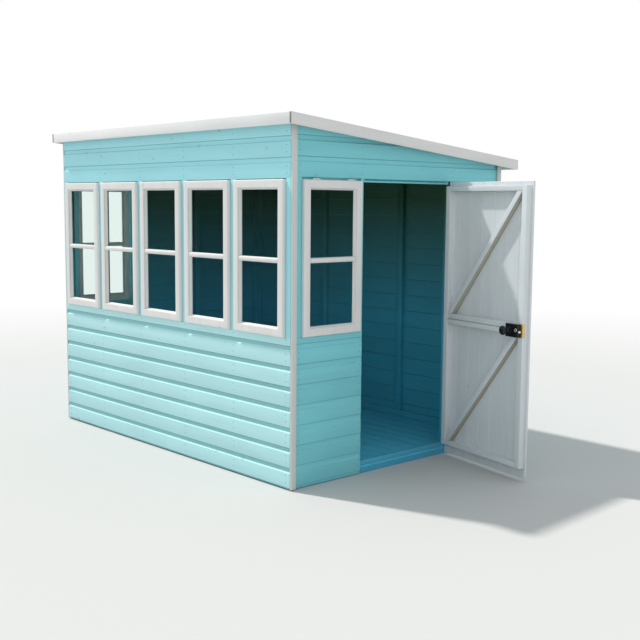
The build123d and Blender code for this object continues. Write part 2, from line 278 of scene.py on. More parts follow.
bpy.ops.object.light_add(type="SUN", location=SUN_FROM * 5)
sun = bpy.context.object
sun.rotation_euler = (-SUN_FROM).to_track_quat("-Z", "Y").to_euler()
sun.data.energy = SUN_STRENGTH
sun.data.angle = SUN_SOFTNESS
sun.data.color = SUN_TINT
bpy.context.scene.view_settings.view_transform = "Standard"
print("sun from", tuple(SUN_FROM), "strength", SUN_STRENGTH)

# %% [markdown]
# ## The floor of the studio
#
# The floor only has to be pale, catch the shadow of the shed and reach past the view. Its far edge
# would still show as a line against the white surround. A photographer rolls the floor up into a
# curved wall; here it turns to plain white with the distance from the shed, for the camera only.

# %% Studio floor
FLOOR_REACH = 40.0
FADE_START = 3.8
FADE_END = 9.0
FLOOR_COLOUR = (0.60, 0.60, 0.59, 1)

bpy.ops.mesh.primitive_circle_add(vertices=96, radius=FLOOR_REACH, fill_type="NGON")
ground = bpy.context.object
ground.name = "studio_floor"
pale, sheet, place = new_finish("studio_floor")
surface = sheet.add("ShaderNodeBsdfPrincipled", {}, {
    "Base Color": FLOOR_COLOUR,
    "Roughness": 0.9,
    "Specular IOR Level": 0.1,
})
from_shed = sheet.add("ShaderNodeVectorMath", {"operation": "LENGTH"}, {0: place}, "Value")
backdrop = sheet.add("ShaderNodeEmission", {}, {"Color": (1, 1, 1, 1), "Strength": 1.0})
camera_ray = sheet.add("ShaderNodeLightPath", output="Is Camera Ray")
fade = from_shed.between(FADE_START, FADE_END) * camera_ray
faded = sheet.add("ShaderNodeMixShader", {}, {0: fade, 1: surface, 2: backdrop})
sheet.add("ShaderNodeOutputMaterial", {}, {"Surface": faded})
ground.data.materials.append(pale)
print("studio floor:", FLOOR_REACH, "m")

# %% [markdown]
# ## Painted timber
#
# Everything but the roof is painted softwood. Paint hides the colour of the wood, not its surface: the
# grain still stands up in fine lines, brush strokes follow the board, knots show as faint rings, and
# each board takes the paint a little differently. An image would repeat and needs a file, so the finish
# is made of noise that is stretched along the grain. A Mapping node turns that grain to lie along each
# piece, which is why the function asks which way the timber runs.
#
# Some of the paint carries light and shade. The front is painted paler than the other walls as
# painted sunlight, most of all below the sashes, so the low boards, the rest of the front and the
# other walls have a paint each, and the fascias are painted lighter than the other cream for the
# same reason. What changes within a piece is a mask, worked out from the place on the shed, that
# blends one colour over another or takes a little off the tone. The hollows of the low boards are
# painted darker and fuller in colour as painted shade, and a thin line under each board's lip is
# painted shade too. End grain drinks the paint and goes dark. Inside, boards and rear posts carry
# painted shade: teal low down and dark green up under the roof, with dark gaps at the joints. The
# corner trims are painted a darker, greener cream as painted shade, and the undersides of the door's
# battens are painted darker as painted shade, darkest in the corner against the boards.

# %% Paint
TEAL = screen_colour(127, 207, 216)
# Painted sunlight: the front's teal is paler than the end walls', and the low front's paler still.
TEAL_FRONT_PAINTED_LIGHT = screen_colour(163, 226, 235)
TEAL_LOW_FRONT_PAINTED_SUN = screen_colour(185, 232, 236)
# Painted shade: the fuller teal of the hollows of the low boards.
TEAL_HOLLOW_SHADE = screen_colour(150, 215, 217)
# Painted shade: the inside teal near the floor and the dark green under the roof.
TEAL_INSIDE_SHADE = screen_colour(72, 178, 205)
GREEN_SHADE_UNDER_ROOF = screen_colour(48, 96, 72)
TEAL_THRESHOLD = screen_colour(82, 174, 207)
TEAL_FLOOR = screen_colour(88, 198, 232)
CREAM = screen_colour(224, 223, 221)
# Painted sunlight: the fascias' cream is lighter than the rest.
CREAM_FASCIA_PAINTED_SUN = screen_colour(233, 233, 233)
# Painted shade: the corner trims' cream is darker and greener.
CREAM_TRIM_PAINTED_SHADE = screen_colour(206, 210, 207)
CREAM_DOOR = screen_colour(219, 223, 226)
# Painted shade: the cream of what looks down on the door's battens.
CREAM_UNDERSIDE_SHADE = screen_colour(174, 173, 158)
END_GRAIN = screen_colour(122, 122, 116)
COVER = 108.8 * MM
SCOOP = 30 * MM
LEDGE = 10 * MM
LAP = 11 * MM
WALL_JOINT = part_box("front_wall_upper")[0].z % COVER
END_WALL_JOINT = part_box("right_wall_upper")[0].z % COVER
INTO_JOINTS = 5 * MM
ROOM_X = INTO_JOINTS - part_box("left_wall_lower")[1].x
ROOM_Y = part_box("back_wall")[0].y + INTO_JOINTS

LIP_LINE = 5 * MM
LIP_SHADE = 0.40
HOLLOW_PAINTED_SHADE = 0.18
GAP_LINE = 1.5 * MM
GAP_SHADE = 0.6
END_GRAIN_DEPTH = 0.4 * MM
GREEN_FROM = 0.75
GREEN_TO = 1.55
DOWNWARD = (-0.3, -0.6)
CORNER_LINE = 10 * MM
CORNER_SHADE = 0.45
GRAIN_TONE = 0.17
STREAK_TONE = 0.15
PATCH_TONE = 0.12
BOARD_TONE = 0.055
KNOT_TONE = 0.16
KNOT_COLOUR = (0.50, 0.46, 0.30, 1)
KNOT_TINT = 0.22
ALONG_X = (0, 0, 0)
ALONG_Y = (0, 0, QUARTER)
ALONG_Z = (0, QUARTER, 0)


def indoor_shade(sheet, spot):
    """Painted shade inside the shed: teal near the floor, and a dark green up under the roof."""
    return sheet.blend(spot.other("Z").between(GREEN_FROM, GREEN_TO), TEAL_INSIDE_SHADE, GREEN_SHADE_UNDER_ROOF)


def board_by_board(sheet, spot, joint, hollow_shade, colour, tone):
    """The colour and tone of a wall whose boards lap at a joint height, outside and inside."""
    in_room_x = spot.math("ABSOLUTE", spot) < ROOM_X
    in_room_y = spot.math("ABSOLUTE", spot.other("Y")) < ROOM_Y
    inside = in_room_x * in_room_y
    turns = (spot.other("Z") - joint) / COVER
    board = turns.floor()
    own_tone = sheet.add("ShaderNodeTexWhiteNoise", {"noise_dimensions": "1D"}, {"W": board})
    tone = tone + (own_tone - 0.5) * BOARD_TONE
    above_lip = (turns - board) * COVER
    # A thin line under the lip of the board above is painted shade.
    under_lip = above_lip.between(COVER - LIP_LINE, COVER - LIP_LINE * 0.4)
    # The hollow below the lip is painted shade on the low boards: darker, in a fuller teal.
    hollow = above_lip.between(COVER - SCOOP + LEDGE * 0.5, COVER - SCOOP + LEDGE)
    if hollow_shade:
        colour = sheet.blend(hollow, colour, TEAL_HOLLOW_SHADE)
    # Inside faces take the painted shade of the inside.
    colour = sheet.blend(inside, colour, indoor_shade(sheet, spot))
    shade = under_lip * LIP_SHADE + hollow * hollow_shade
    gap = (above_lip > LAP - GAP_LINE) * (above_lip < LAP + GAP_LINE)
    return colour, tone - shade * (1.0 - inside) - gap * inside * GAP_SHADE


def painted_shade_below(sheet, place, painted, tone, dust, way_out, boards_at):
    """Paint with painted shade on what looks down, darkest in the corner against the boards."""
    # The colour passed as dust is painted shade for the undersides; the corner line is painted shade
    # too.
    normal = sheet.add("ShaderNodeNewGeometry", output="Normal")
    up = sheet.add("ShaderNodeSeparateXYZ", {}, {"Vector": normal}, "Z")
    dot = {"operation": "DOT_PRODUCT"}
    out = sheet.add("ShaderNodeVectorMath", dot, {0: place, 1: way_out}, "Value")
    corner = 1.0 - out.between(boards_at, boards_at + CORNER_LINE)
    shade_on_underside = sheet.scaled(dust, tone - corner * CORNER_SHADE)
    return sheet.blend(up.between(*DOWNWARD), painted, shade_on_underside)


def paint(name, colour, turn, board_joint=None, knots=0.5, ends=None, hollow_shade=0.0, rear_shade_up_to=None,
          underside=None):
    """Paint on softwood whose grain runs as turn says.

    Of the places where a knot could be, knots is the share that have one.
    With a joint height it is laid on board by board, with painted shade under each lip. With no colour
    it is the painted shade inside. Where ends gives the reach of a piece along Y, the end grain there
    has soaked up the paint and is dark. The hollow shade is how much painted shade darkens the
    hollows of the boards, which it also paints a fuller teal. What stands in the rear half of the
    room, up to an x, has the painted shade inside. The underside is the colour of painted shade on
    what looks down, the way out of the boards behind it, and how far that way they lie.
    """
    material, sheet, place = new_finish(name)
    spot = sheet.add("ShaderNodeSeparateXYZ", {}, {"Vector": place})
    colour = colour or indoor_shade(sheet, spot)
    fine = sheet.grain(place, turn, 0.22, 0.0028, 5.0, Roughness=0.62, Distortion=0.25)
    broad = sheet.grain(place, turn, 0.55, 0.05, 3.0, Roughness=0.55)
    patches = sheet.noise(place, 2.3, 2.0)
    tone = 1.0 + (fine - 0.5) * GRAIN_TONE + (broad - 0.5) * STREAK_TONE + (patches - 0.5) * PATCH_TONE
    # What stands in the rear of the room takes the painted shade of the inside.
    if rear_shade_up_to is not None:
        rear = (spot < rear_shade_up_to) * (spot.other("Y") > 0)
        colour = sheet.blend(rear, colour, indoor_shade(sheet, spot))
    if board_joint is not None:
        colour, tone = board_by_board(sheet, spot, board_joint, hollow_shade, colour, tone)
    cell = sheet.add("ShaderNodeTexVoronoi", {}, {
        "Vector": sheet.along_grain(place, turn, 0.20, 0.11),
        "Scale": 1.0,
        "Randomness": 1.0,
    })
    lot = sheet.add("ShaderNodeSeparateColor", {}, {"Color": cell.other("Color")})
    knot = (1.0 - cell.between(0.03, 0.10)) * (lot > 1.0 - knots)
    tone = tone - knot * KNOT_TONE
    painted = sheet.blend(knot * KNOT_TINT, sheet.scaled(colour, tone), KNOT_COLOUR)
    if ends:
        front_end = spot.other("Y") < ends[0] + END_GRAIN_DEPTH
        rear_end = spot.other("Y") > ends[1] - END_GRAIN_DEPTH
        painted = sheet.blend(front_end.either(rear_end), painted, sheet.scaled(END_GRAIN, tone))
    if underside:
        painted = painted_shade_below(sheet, place, painted, tone, *underside)
    relief = (fine - 0.5) * 0.7 + (broad - 0.5) * 0.4 + knot * 0.5
    sheet.surface({
        "Base Color": painted,
        "Roughness": 0.50 + (fine - 0.5) * 0.20 + (patches - 0.5) * 0.14,
        "Specular IOR Level": 0.38,
        "Normal": sheet.bump(relief, 0.32, 0.0006),
    })
    return material


materials_before = len(bpy.data.materials)
low_paint = paint("teal_boards_low", TEAL_LOW_FRONT_PAINTED_SUN, ALONG_X, WALL_JOINT, hollow_shade=HOLLOW_PAINTED_SHADE)
front_paint = paint("teal_boards_front", TEAL_FRONT_PAINTED_LIGHT, ALONG_X, WALL_JOINT)
back_paint = paint("teal_boards_back", TEAL, ALONG_X, WALL_JOINT)
end_paint = paint("teal_boards_end", TEAL, ALONG_Y, END_WALL_JOINT)
strip_paint = paint("teal_strips", TEAL_FRONT_PAINTED_LIGHT, ALONG_Z)
end_strip_paint = paint("teal_end_strips", TEAL, ALONG_Z)
stud_paint = paint("teal_studs", None, ALONG_Z)
post_paint = paint("teal_posts", TEAL, ALONG_Z, rear_shade_up_to=frame_bounds[1][0])
long_rail_paint = paint("teal_long_rails", None, ALONG_X)
end_rail_paint = paint("teal_end_rails", TEAL, ALONG_Y, rear_shade_up_to=0)
floor_paint = paint("teal_floor", TEAL_FLOOR, ALONG_X)
threshold_paint = paint("teal_threshold", TEAL_THRESHOLD, ALONG_Y)
sash_paint = paint("cream_sash", CREAM, ALONG_Z, knots=0.15)
trim_paint = paint("cream_corner", CREAM_TRIM_PAINTED_SHADE, ALONG_Z, knots=0.2)
fascia_paint = paint("cream_fascia", CREAM_FASCIA_PAINTED_SUN, ALONG_X, knots=0.25)
barge_ends = [corner.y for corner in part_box("bargeboards")]
barge_paint = paint("cream_bargeboard", CREAM, ALONG_Y, knots=0.25, ends=barge_ends)
print("paints:", len(bpy.data.materials) - materials_before)

# %% [markdown]
# ## A maker's moves
#
# The timber pieces need the same few moves again and again: add a block, draw a section and pull it to
# length, repeat a board up the wall, saw along a line, and take off the sharp arris. Each move is one
# short function around Blender's own operator. An operator acts on whatever is selected, so each
# function clears the selection first.

# %% Select and edit
def clear():
    """Leaves edit mode and deselects every object."""
    if bpy.context.mode != "OBJECT":
        bpy.ops.object.mode_set(mode="OBJECT")
    bpy.ops.object.select_all(action="DESELECT")


def take(piece):
    """Selects one object alone and makes it the active one."""
    clear()
    piece.select_set(True)
    bpy.context.view_layer.objects.active = piece


@contextmanager
def editing(piece, selected="SELECT", kind="VERT"):
    """Edit mode on one piece, with all of its mesh selected or none, as VERT, EDGE or FACE."""
    take(piece)
    bpy.ops.object.mode_set(mode="EDIT")
    bpy.ops.mesh.select_mode(type=kind)
    bpy.ops.mesh.select_all(action=selected)
    yield
    bpy.ops.object.mode_set(mode="OBJECT")


def pick(piece, kind, test):
    """In edit mode, selects the VERT, EDGE or FACE elements that pass a test."""
    bpy.ops.mesh.select_mode(type=kind)
    bpy.ops.mesh.select_all(action="DESELECT")
    shape = bmesh.from_edit_mesh(piece.data)
    shape.normal_update()
    elements = {"VERT": shape.verts, "EDGE": shape.edges, "FACE": shape.faces}[kind]
    for element in elements:
        if test(element):
            element.select_set(True)
    shape.select_flush(True)
    bmesh.update_edit_mesh(piece.data)


def face_outwards():
    """In edit mode, selects all of a piece and turns its faces outwards."""
    bpy.ops.mesh.select_all(action="SELECT")
    bpy.ops.mesh.normals_make_consistent(inside=False)


def settle(name):
    """Names the object that was just added and moves its place into its mesh."""
    piece = bpy.context.object
    piece.name = name
    piece.data.name = name
    bpy.ops.object.transform_apply(location=True, rotation=True, scale=True)
    return piece


print("select and edit helpers are ready")

# %% Add, draw, repeat, saw, ease
def block(name, low, high):
    """A block between two corners."""
    clear()
    low, high = Vector(low), Vector(high)
    bpy.ops.mesh.primitive_cube_add(size=1, location=(low + high) / 2, scale=high - low)
    return settle(name)


def traced(name, points):
    """A line of edges, drawn by pulling one vertex from each point to the next."""
    clear()
    points = [Vector(point) for point in points]
    bpy.ops.mesh.primitive_plane_add(size=MM, location=points[0])
    piece = settle(name)
    with editing(piece):
        bpy.ops.mesh.merge(type="CENTER")
        for here, there in zip(points, points[1:]):
            bpy.ops.mesh.extrude_vertices_move(TRANSFORM_OT_translate={"value": there - here})
    return piece


def drawn(name, points):
    """A flat face within an outline."""
    piece = traced(name, points)
    with editing(piece):
        bpy.ops.mesh.edge_face_add()
    return piece


def lathe(name, outline, steps=32):
    """A piece turned on the Z axis from an outline of (radius, height) pairs."""
    piece = traced(name, [(radius, 0, height) for radius, height in outline])
    with editing(piece):
        bpy.ops.mesh.spin(steps=steps, angle=math.tau, center=(0, 0, 0), axis=(0, 0, 1))
        bpy.ops.mesh.select_all(action="SELECT")
        bpy.ops.mesh.remove_doubles(threshold=0.001 * MM)
        face_outwards()
    return smooth(piece, 38)


def carve(piece, *tools):
    """Cuts the space of the tools out of a piece, and puts the tools away."""
    for tool in tools:
        take(piece)
        cut = piece.modifiers.new("cut", "BOOLEAN")
        cut.operation = "DIFFERENCE"
        cut.solver = "EXACT"
        cut.object = tool
        bpy.ops.object.modifier_apply(modifier=cut.name)
        discard(tool)
    return piece


def pull(piece, way):
    """Gives a drawn face its length, and turns the faces outwards."""
    with editing(piece, kind="FACE"):
        bpy.ops.mesh.extrude_region_move(TRANSFORM_OT_translate={"value": way})
        face_outwards()
    return piece


def repeat(piece, count, step):
    """Copies of the piece in a row, each a step from the one before."""
    take(piece)
    row = piece.modifiers.new("row", "ARRAY")
    row.count = count
    row.use_relative_offset = False
    row.use_constant_offset = True
    row.constant_offset_displace = step
    bpy.ops.object.modifier_apply(modifier=row.name)
    return piece


def saw(piece, point, normal):
    """Cuts off what lies beyond a plane and closes the cut."""
    with editing(piece):
        bpy.ops.mesh.bisect(plane_co=point, plane_no=normal, use_fill=True, clear_outer=True)
    return piece


def ease(piece, width, segments=2, test=None):
    """Rounds the arrises that pass a test, or all of them."""
    with editing(piece, kind="EDGE"):
        if test:
            pick(piece, "EDGE", test)
        bpy.ops.mesh.bevel(offset=width, segments=segments, affect="EDGES", clamp_overlap=True)
    return piece


def smooth(piece, degrees=40):
    """Shades a piece smooth, but for the edges that turn by more than an angle."""
    take(piece)
    bpy.ops.object.shade_smooth_by_angle(angle=math.radians(degrees))
    return piece


def joined(name, pieces):
    """One object made of several."""
    take(pieces[0])
    for piece in pieces[1:]:
        piece.select_set(True)
    if len(pieces) > 1:
        bpy.ops.object.join()
    piece = bpy.context.object
    piece.name = name
    piece.data.name = name
    return piece


def copy_of(piece, name, move):
    """A copy with a mesh of its own, put in place by a matrix."""
    twin = bpy.data.objects.new(name, piece.data.copy())
    twin.data.name = name
    twin.data.transform(move)
    bpy.context.scene.collection.objects.link(twin)
    return twin


def discard(piece):
    bpy.data.objects.remove(piece)


print("modelling helpers are ready")

# %% Finish a piece
def finish(piece, body, slot, material, *stands_for):
    """Gives a piece its material, lets it ride on a body, and hides the nodes that it stands for."""
    piece.data.materials.clear()
    piece.data.materials.append(material)
    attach(piece, body)
    if stands_for:
        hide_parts(*stands_for)
    return piece


def dress(node, material):
    """A better material on a node whose own shape is right."""
    for material_slot in nodes[node].material_slots:
        material_slot.link = "OBJECT"
        material_slot.material = material


def timber(name, node):
    """A copy of a node's solids as clean timber, to be worked on."""
    piece = bpy.data.objects.new(name, nodes[node].data.copy())
    bpy.context.scene.collection.objects.link(piece)
    with editing(piece):
        bpy.ops.mesh.remove_doubles(threshold=0.01 * MM)
        bpy.ops.mesh.dissolve_limited(angle_limit=math.radians(1))
        face_outwards()
    return piece


def solids(node, move=Matrix.Identity(4)):
    """The lowest and highest corner of each solid of a node, from left to right and front to back."""
    shape = bmesh.new()
    shape.from_mesh(nodes[node].data)
    shape.transform(move)
    bmesh.ops.remove_doubles(shape, verts=shape.verts, dist=0.01 * MM)
    waiting = set(shape.verts)
    boxes = []
    while waiting:
        group = [waiting.pop()]
        for vertex in group:
            for edge in vertex.link_edges:
                neighbour = edge.other_vert(vertex)
                if neighbour in waiting:
                    waiting.remove(neighbour)
                    group.append(neighbour)
        low = Vector([min(vertex.co[axis] for vertex in group) for axis in range(3)])
        high = Vector([max(vertex.co[axis] for vertex in group) for axis in range(3)])
        boxes.append((low, high))
    shape.free()
    return sorted(boxes, key=lambda box: tuple(round(value, 4) for value in box[0]))


print("the front wall stands on", len(solids("front_wall_studs")), "studs")

# %% [markdown]
# ## The boards of the walls
#
# The walls are shiplap: each board has a hollow scooped out along the top of its face and a rebate
# along the bottom of its back, so that every board laps over the tongue of the one below and rain runs
# off. Painted lines on a flat slab would miss the bright ledge and the dark line at each joint, so the
# real section is drawn once, pulled to the length of the wall and repeated upwards. The wall is then
# sawn off where the frame's slab ends, and its top along the slope of the roof.

# %% Shiplap
BOARD = 12 * MM
LIP = 5.5 * MM
TONGUE_FACE = 6.2 * MM
TONGUE = 10 * MM
LEDGE_STEPS = 6
LIP_EASE = 1.2 * MM
SHORT_OF_TRIM = 2 * MM


def board_section():
    """Corners of a board's section as (depth behind the face, height above its lower edge)."""
    corners = [(LIP_EASE, 0), (LIP, 0), (LIP, LAP), (BOARD, LAP), (BOARD, COVER + TONGUE)]
    corners.append((TONGUE_FACE, COVER + TONGUE))
    for step in range(LEDGE_STEPS + 1):
        angle = QUARTER * step / LEDGE_STEPS
        rise = LEDGE * (1 - math.sin(angle))
        corners.append((TONGUE_FACE * math.cos(angle), COVER - SCOOP + rise))
    corners.append((0, LIP_EASE))
    corners.append((LIP_EASE * 0.3, LIP_EASE * 0.3))
    return corners


front_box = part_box("front_wall_upper")
back_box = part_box("back_wall")
EAVES_POINT = Vector((0, front_box[0].y, front_box[1].z))
ROOF_FALL = (front_box[1].z - back_box[1].z) / (back_box[0].y - front_box[0].y)
ROOF_NORMAL = Vector((0, ROOF_FALL, 1)).normalized()


def roof_line(y):
    """Height of the underside of the roof boards."""
    return EAVES_POINT.z - ROOF_FALL * (y - EAVES_POINT.y)


def shiplap(name, node, outwards, joint, material):
    """A wall of boards in the place of a node's slab, its face turned one way."""
    low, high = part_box(node)
    outwards = Vector(outwards)
    run = Vector((0, 0, 1)).cross(outwards)
    run = Vector([abs(value) for value in run])
    if outwards.y:
        low += run * SHORT_OF_TRIM
        high -= run * SHORT_OF_TRIM
    corner = Vector([high[axis] if outwards[axis] > 0 else low[axis] for axis in range(3)])
    corner -= run * corner.dot(run)
    corner += run * low.dot(run)
    first = math.floor((low.z - joint) / COVER + 0.01)
    corner.z = joint + first * COVER
    outline = [corner - outwards * depth + Vector((0, 0, height)) for depth, height in board_section()]
    wall = pull(drawn(name, outline), run * (high - low).dot(run))
    repeat(wall, math.ceil((high.z - corner.z) / COVER), (0, 0, COVER))
    if corner.z < low.z - MM:
        saw(wall, (0, 0, low.z), (0, 0, -1))
    saw(wall, (0, 0, high.z), (0, 0, 1))
    if high.z > roof_line(high.y) + MM:
        saw(wall, EAVES_POINT, ROOF_NORMAL)
    smooth(wall, 35)
    return finish(wall, "shed", "wall_paint", material, node)


shiplap("front_boards_lower", "front_wall_lower", (0, -1, 0), WALL_JOINT, low_paint)
shiplap("front_boards_upper", "front_wall_upper", (0, -1, 0), WALL_JOINT, front_paint)
shiplap("back_boards", "back_wall", (0, 1, 0), WALL_JOINT, back_paint)
shiplap("door_end_boards_lower", "right_wall_lower", (1, 0, 0), END_WALL_JOINT, end_paint)
shiplap("door_end_boards_rear", "right_wall_rear", (1, 0, 0), END_WALL_JOINT, end_paint)
shiplap("door_end_boards_upper", "right_wall_upper", (1, 0, 0), END_WALL_JOINT, end_paint)
shiplap("plain_end_boards_lower", "left_wall_lower", (-1, 0, 0), END_WALL_JOINT, end_paint)
shiplap("plain_end_boards_rear", "left_wall_rear", (-1, 0, 0), END_WALL_JOINT, end_paint)
shiplap("plain_end_boards_upper", "left_wall_upper", (-1, 0, 0), END_WALL_JOINT, end_paint)
print("shiplap: roof falls", round(math.degrees(math.atan(ROOF_FALL)), 2), "degrees")

# %% [markdown]
# ## Strips, trims and framing
#
# Studs, rails, corner trims and fascias are square timber. Square is nearly right, but planed timber
# never has a knife edge: the arris is always taken off a little, and that is where it catches light.
# So each piece is a copy of the frame's own solid with its edges eased by about a millimetre or two.
# The front strips stop a little short of the corner trims, as the boards do, and the fascias stop a
# little short of the bargeboards.

# %% Eased timber
TIMBER_CREASE = 50
FRAME_EASE = 1.6 * MM
TRIM_EASE = 2.2 * MM
THRESHOLD_EASE = 4 * MM
END_GAP = 2 * MM
GROOVE = Vector((15, 45, 8)) * MM


def eased(name, node, slot, material, width=FRAME_EASE, short=0):
    """A node's timber with its arrises off, sawn short of its length along the shed where asked."""
    piece = timber(name, node)
    if short:
        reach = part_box(node)[1].x - short
        saw(piece, (reach, 0, 0), (1, 0, 0))
        saw(piece, (-reach, 0, 0), (-1, 0, 0))
    smooth(ease(piece, width), TIMBER_CREASE)
    return finish(piece, "shed", slot, material, node)


def grooved_rails():
    """The rails of the end walls, with a groove for the drip under the boards over the doorway."""
    rails = ease(timber("end_rails", "end_wall_rails"), FRAME_EASE)
    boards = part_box("right_wall_upper")[0]
    sash_side, hinge_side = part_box("right_window")[1].y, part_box("right_wall_rear")[0].y
    groove_low = (boards.x - GROOVE.x, sash_side + GROOVE.y, boards.z - GROOVE.z)
    groove = block("groove", groove_low, (boards.x + MM, hinge_side - GROOVE.y, boards.z + MM))
    return smooth(carve(rails, groove), TIMBER_CREASE)


eased("front_strips", "front_wall_strips", "wall_paint", strip_paint, short=SHORT_OF_TRIM)
eased("end_strips", "end_wall_strips", "wall_paint", end_strip_paint)
eased("front_studs", "front_wall_studs", "frame_paint", stud_paint)
eased("front_rails", "front_wall_rails", "frame_paint", long_rail_paint)
eased("end_studs", "end_wall_studs", "frame_paint", post_paint)
finish(grooved_rails(), "shed", "frame_paint", end_rail_paint, "end_wall_rails")
eased("back_studs", "back_wall_studs", "frame_paint", stud_paint)
eased("back_rails", "back_wall_rails", "frame_paint", long_rail_paint)
eased("threshold", "door_threshold", "floor_paint", threshold_paint, THRESHOLD_EASE)
eased("corner_posts", "corner_trims", "cream_trim", trim_paint, TRIM_EASE)
eased("fascia_boards", "fascias", "cream_trim", fascia_paint, TRIM_EASE, short=END_GAP)
eased("verge_boards", "bargeboards", "cream_trim", barge_paint, TRIM_EASE)
print("eased timber is in place")

# %% [markdown]
# ## A sash
#
# Each sash is a cream frame that stands proud of the wall, with rounded outer and inner arrises, a
# rebate behind for the glass and one half-round bar across the middle. Four separate sticks would need
# four joints to be cut. Insetting one plane twice gives the frame and its rebate in one piece, with
# the mitred inner corners that the real moulding has. It is modelled once, and every window is a copy.

# %% Sash
MEMBER = 44 * MM
REBATE = 8 * MM
SASH_ROUND = 8 * MM
SASH_INNER_ROUND = 4 * MM
BEAD_WIDTH = 9 * MM
BEAD_FRONT = 6.5 * MM
BEAD_NOSE = 19 * MM
JOINT_WIDTH = 0.8 * MM
JOINT_DEPTH = 0.7 * MM
BAR_HEIGHT = 28 * MM
BAR_MIDDLE = 403 * MM
BAR_BACK = 0.5 * MM

sash_low, sash_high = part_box("front_window_1")
SASH_WIDTH = sash_high.x - sash_low.x
SASH_DEPTH = sash_high.y - sash_low.y
SASH_HEIGHT = sash_high.z - sash_low.z


def mitred_frame(name, width, height, front, insets, depth):
    """A frame in the middle of the sash: an inset plane, its middle taken out, pulled backwards."""
    clear()
    bpy.ops.mesh.primitive_plane_add(
        size=1,
        location=(SASH_WIDTH / 2, front, SASH_HEIGHT / 2),
        rotation=(QUARTER, 0, 0),
    )
    bpy.context.object.scale = (width, height, 1)
    piece = settle(name)
    with editing(piece, kind="FACE"):
        for inset in insets:
            bpy.ops.mesh.inset(thickness=inset)
        bpy.ops.mesh.delete(type="FACE")
        bpy.ops.mesh.select_all(action="SELECT")
        bpy.ops.mesh.extrude_region_move(TRANSFORM_OT_translate={"value": (0, depth, 0)})
        face_outwards()
    return piece


def sash_frame():
    """The frame, standing on its lower left corner at the origin with its face at y = 0."""
    depth = SASH_DEPTH - REBATE
    sash = mitred_frame("sash", SASH_WIDTH, SASH_HEIGHT, 0, (MEMBER - REBATE, REBATE), depth)
    with editing(sash, kind="FACE"):
        pick(sash, "FACE", lambda face: is_outer_back(face, depth))
        bpy.ops.mesh.extrude_region_move(TRANSFORM_OT_translate={"value": (0, REBATE, 0)})
        face_outwards()
    return sash


def is_outer_back(face, depth):
    """True for the faces of the outer ring at the back of the frame."""
    if any(abs(vertex.co.y - depth) > 0.1 * MM for vertex in face.verts):
        return False
    return any(edge_distance(vertex.co) < MM for vertex in face.verts)


def edge_distance(place):
    """How far a place lies inside the outline of the sash."""
    return min(place.x, SASH_WIDTH - place.x, place.z, SASH_HEIGHT - place.z)


def on_outline(edge, margin):
    """True for an edge of the rectangle that lies a margin inside the sash's outline, on its face."""
    first, second = (vertex.co for vertex in edge.verts)
    if abs(first.y) > 0.1 * MM or abs(second.y) > 0.1 * MM:
        return False
    sides = ((0, margin), (0, SASH_WIDTH - margin), (2, margin), (2, SASH_HEIGHT - margin))
    for axis, value in sides:
        if abs(first[axis] - value) < 0.1 * MM and abs(second[axis] - value) < 0.1 * MM:
            return True
    return False


sash = sash_frame()
with editing(sash, "DESELECT"):
    pick(sash, "EDGE", lambda edge: on_outline(edge, MEMBER - REBATE))
    bpy.ops.mesh.dissolve_edges()
ease(sash, SASH_ROUND, 5, lambda edge: on_outline(edge, 0))
ease(sash, SASH_INNER_ROUND, 5, lambda edge: on_outline(edge, MEMBER))
print("sash:", len(sash.data.polygons), "faces")

# %% [markdown]
# The rails of a sash are tenoned into its stiles, and the paint leaves a hair line at each shoulder.
# Bisecting the frame at the height of each shoulder gives an edge across the stile. A narrow bevel
# turns it into two edges with a third between them, and the middle one is pushed in.

# %% Joint lines and glazing bar
def shoulder(edge, height):
    """True for the cut edge across the flat face of a stile at the height of a shoulder."""
    return all(
        abs(vertex.co.z - height) < 0.05 * MM
        and abs(vertex.co.y) < 0.05 * MM
        and SASH_ROUND - 0.1 * MM < min(vertex.co.x, SASH_WIDTH - vertex.co.x) < MEMBER
        for vertex in edge.verts
    )


for height in (MEMBER, SASH_HEIGHT - MEMBER):
    with editing(sash):
        bpy.ops.mesh.bisect(plane_co=(0, 0, height), plane_no=(0, 0, 1))
        pick(sash, "EDGE", lambda edge: shoulder(edge, height))
        bpy.ops.mesh.bevel(offset=JOINT_WIDTH / 2, segments=2, affect="EDGES")
        pick(sash, "EDGE", lambda edge: shoulder(edge, height))
        bpy.ops.transform.translate(value=(0, JOINT_DEPTH, 0))


def glazing_bead():
    """The sloped moulding inside the frame that holds the glass, as a ring with mitred corners."""
    width, height = SASH_WIDTH - 2 * MEMBER + MM, SASH_HEIGHT - 2 * MEMBER + MM
    depth = SASH_DEPTH - REBATE - BEAD_FRONT
    ring = mitred_frame("bead", width, height, BEAD_FRONT, (BEAD_WIDTH,), depth)
    with editing(ring):
        pick(ring, "VERT", lambda vertex: is_bead_nose(vertex.co))
        bpy.ops.transform.translate(value=(0, BEAD_NOSE - BEAD_FRONT, 0))
    return ring


def is_bead_nose(place):
    """True for the corners of the bead that are nearest the glass and in front."""
    return place.y < BEAD_FRONT + 0.1 * MM and edge_distance(place) > MEMBER + BEAD_WIDTH / 2


def is_bar_face(edge):
    """True for the long edges on the face of the bar."""
    first, second = (vertex.co for vertex in edge.verts)
    return max(first.y, second.y) < MM and abs(first.x - second.x) > MEMBER


bar_low = (MEMBER - MM, BAR_BACK, BAR_MIDDLE - BAR_HEIGHT / 2)
bar_high = (SASH_WIDTH - MEMBER + MM, SASH_DEPTH - REBATE, BAR_MIDDLE + BAR_HEIGHT / 2)
bar = ease(block("bar", bar_low, bar_high), BAR_HEIGHT * 0.45, 8, is_bar_face)
sash = smooth(joined("sash", [sash, bar, glazing_bead()]), 35)


